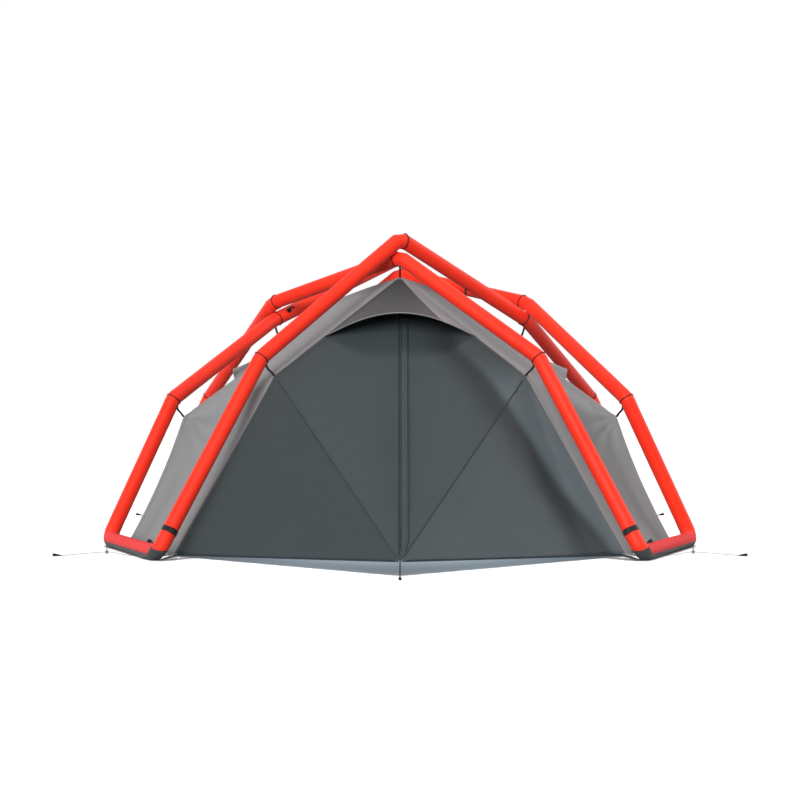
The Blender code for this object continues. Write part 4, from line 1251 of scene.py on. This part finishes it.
def make_valve(name, start, end, kind, towards, turn_way):
    """A flanged neck with a gripped cap on a tube, and the moulded leash that runs along from it."""
    share, length = VALVE_AT[kind], LEASH_LENGTH[kind]
    run = unit(end - start)
    upright = np.array(towards, float)
    upright = unit(upright - run * float(upright @ run))
    spot = start + (end - start) * share + upright * (TUBE_R + GAP)
    aside = unit(np.cross(upright, run * turn_way))
    turn = np.array([np.cross(aside, upright), aside, upright])
    angles = circle(56)
    body = []
    for radius, height in CAP_PROFILE + NECK_PROFILE:
        gripped = GRIPS["from"] < height < GRIPS["to"] and radius > 0.7
        grip = 1 + GRIPS["deep"] * gripped * np.cos(GRIPS["count"] * angles)
        ring = spokes(angles, turn[0], turn[1]) * (VALVE_R * radius * grip)[:, None]
        body.append(spot + ring + upright * VALVE_H * height)
    stops = []
    for t in np.linspace(0.0, 1.0, 13):
        height = LEASH_FROM * VALVE_H * (1 - t) + (LEASH_R + 0.0006) * t
        ahead, aside = VALVE_R * 0.30 + length * t, LEASH_BOW * math.sin(math.pi * t)
        stops.append(spot + np.array([ahead, aside, height]) @ turn)
    radii = LEASH_R * (1.0 + 0.35 * np.linspace(-1.0, 1.0, 13) ** 8)
    leash = []
    for k, stop in enumerate(stops):
        run = unit(stops[min(k + 1, len(stops) - 1)] - stops[max(k - 1, 0)])
        side = unit(np.cross(run, upright))
        leash.append(stop + radii[k] * spokes(circle(16), side, np.cross(side, run)))
    ringed("finish_" + name, body, PLASTIC, name, sharp=35.0)
    ringed("leash_" + name, leash, PLASTIC)


def make_valves():
    for side, across in SIDES:
        start, end = (FRAME[foot, "front", side] for foot in ("end_foot", "side_foot"))
        make_valve(f"valve_foot_{side}", start, end, "foot", (-across * 0.55, 0.30, 1.0), -1)
    start, end = FRAME["under", "left"], FRAME["over", "rear"]
    make_valve("valve_crossing_left", start, end, "crossing", (-0.1, -1.0, 0.15), 1)


def make_pegs():
    shares = np.linspace(0.0, 1.0, 30)
    grooved = np.abs(shares - PEG_GROOVE["at"]) < PEG_GROOVE["half"]
    radii = np.interp(shares, *zip(*PEG_PROFILE)) - PEG_GROOVE["deep"] * grooved
    for label, (spot, away) in PEGS.items():
        arms = spokes(circle(28), np.cross(away, UP), UP)
        rings = [spot + away * PEG_LENGTH * share + (0, 0, r) + r * arms for share, r in zip(shares, radii)]
        ringed("finish_peg_" + label, rings, PLASTIC, "peg_" + label, sharp=50.0)


def make_rings():
    """A moulded ring at each front junction, where the two lines meet."""
    radius, thickness = RING
    for side, across in SIDES:
        centre = FRAME["junction", "front", side]
        way = unit((across, -0.3, 0.0))
        arms = spokes(circle(40), way, UP)
        through = np.cross(way, UP)
        rings = [centre + arm * radius + spokes(circle(12), arm, through) * thickness for arm in arms]
        ringed(f"ring_junction_{side}", rings + rings[:1], PLASTIC, caps=False)


make_valves()
make_pegs()
make_rings()

# ---- floor and light

FLOOR_WHITE = 0.88
FLOOR_HALF = 60.0
WALL_TOP = 0.30
NEAR_WALL = 0.58
SKY = 0.42
UNDER = 0.10


def world_ramp(world, value, stops):
    """A grey ramp over a value from -1 to 1, from (value, grey) stops."""
    place = add_node(world, "ShaderNodeMapRange", {"Value": value, "From Min": -1.0}).outputs["Result"]
    return ramp(world, place, [((position + 1) / 2, (grey,) * 3) for position, grey in stops])


def make_world():
    """A studio whose far wall is white, with softer near walls and ceiling, and little light from below.

    What the camera sees past the floor is plain white.
    """
    world = bpy.data.worlds.new("studio")
    world.use_nodes = True
    place = add_node(world, "ShaderNodeTexCoord").outputs["Generated"]
    parts = add_node(world, "ShaderNodeSeparateXYZ", {"Vector": place}).outputs
    far = world_ramp(world, parts["Y"], [(-1.0, NEAR_WALL), (-0.1, NEAR_WALL), (0.45, 1.0), (1.0, 1.0)])
    wall_stops = [(-1.0, 0.0), (-0.07, 0.0), (-0.03, 1.0), (WALL_TOP, 1.0), (WALL_TOP + 0.15, 0.0)]
    wall = world_ramp(world, parts["Z"], wall_stops)
    rest = world_ramp(world, parts["Z"], [(-1.0, UNDER), (-0.07, UNDER), (0.0, SKY), (1.0, SKY)])
    seen = add_node(world, "ShaderNodeLightPath").outputs["Is Camera Ray"]
    colour = mixed(world, seen, mixed(world, wall, rest, far), (1.0, 1.0, 1.0, 1.0))
    world.node_tree.links.new(colour, world.node_tree.nodes["Background"].inputs["Color"])
    bpy.context.scene.world = world


def make_floor():
    floor_look = shader("floor", (FLOOR_WHITE,) * 3, 0.9, specular=0.0)
    points = np.array([(-1, -1, 0), (1, -1, 0), (1, 1, 0), (-1, 1, 0)]) * FLOOR_HALF
    uvs = [(0, 0), (1, 0), (1, 1), (0, 1)]
    floor = mesh_object("floor", points - CENTRE, [[0, 1, 2, 3]], uvs, floor_look)
    floor.visible_diffuse = False
    return floor


def add_lamp(name, kind, power, spot, towards):
    light = bpy.data.lights.new(name, kind)
    light.energy = power
    lamp = placed(name, light, np.array(spot) + CENTRE)
    lamp.rotation_euler = Vector(towards).to_track_quat("-Z", "Y").to_euler()
    return lamp


def add_sun(name, comes_from, strength, spread, floor=None, floor_state="INCLUDE"):
    """A sun lamp from that side. With floor, it lights that object alone, or all but that object."""
    lamp = add_lamp(name, "SUN", strength, np.array(comes_from) * 6.0, -np.array(comes_from))
    lamp.data.angle = math.radians(spread)
    if floor:
        lit = bpy.data.collections.new(name + "_lights")
        lit.objects.link(floor)
        lit.collection_objects[0].light_linking.link_state = floor_state
        lamp.light_linking.receiver_collection = lit


def add_area(name, spot, target, size, watts, color):
    light = add_lamp(name, "AREA", watts, spot, np.array(target) - np.array(spot)).data
    light.shape = "DISK"
    light.color = color
    light.size = size


make_world()
FLOOR = make_floor()
add_sun("front", (-0.26, -0.90, 0.30), 3.3, 34.0, FLOOR, "EXCLUDE")
add_sun("top", (0.0, -0.10, 1.0), 0.7, 14.0)
add_sun("side", (0.80, 0.10, 0.55), 0.6, 12.0, FLOOR, "EXCLUDE")
add_sun("floor", (0.0, 0.0, 1.0), 2.4, 14.0, FLOOR)
add_area("inside", (0.0, -0.55, 0.55), (0.0, -1.5, 0.0), 0.6, 9.0, (0.72, 0.87, 1.0))

bpy.context.scene.view_settings.view_transform = "Standard"
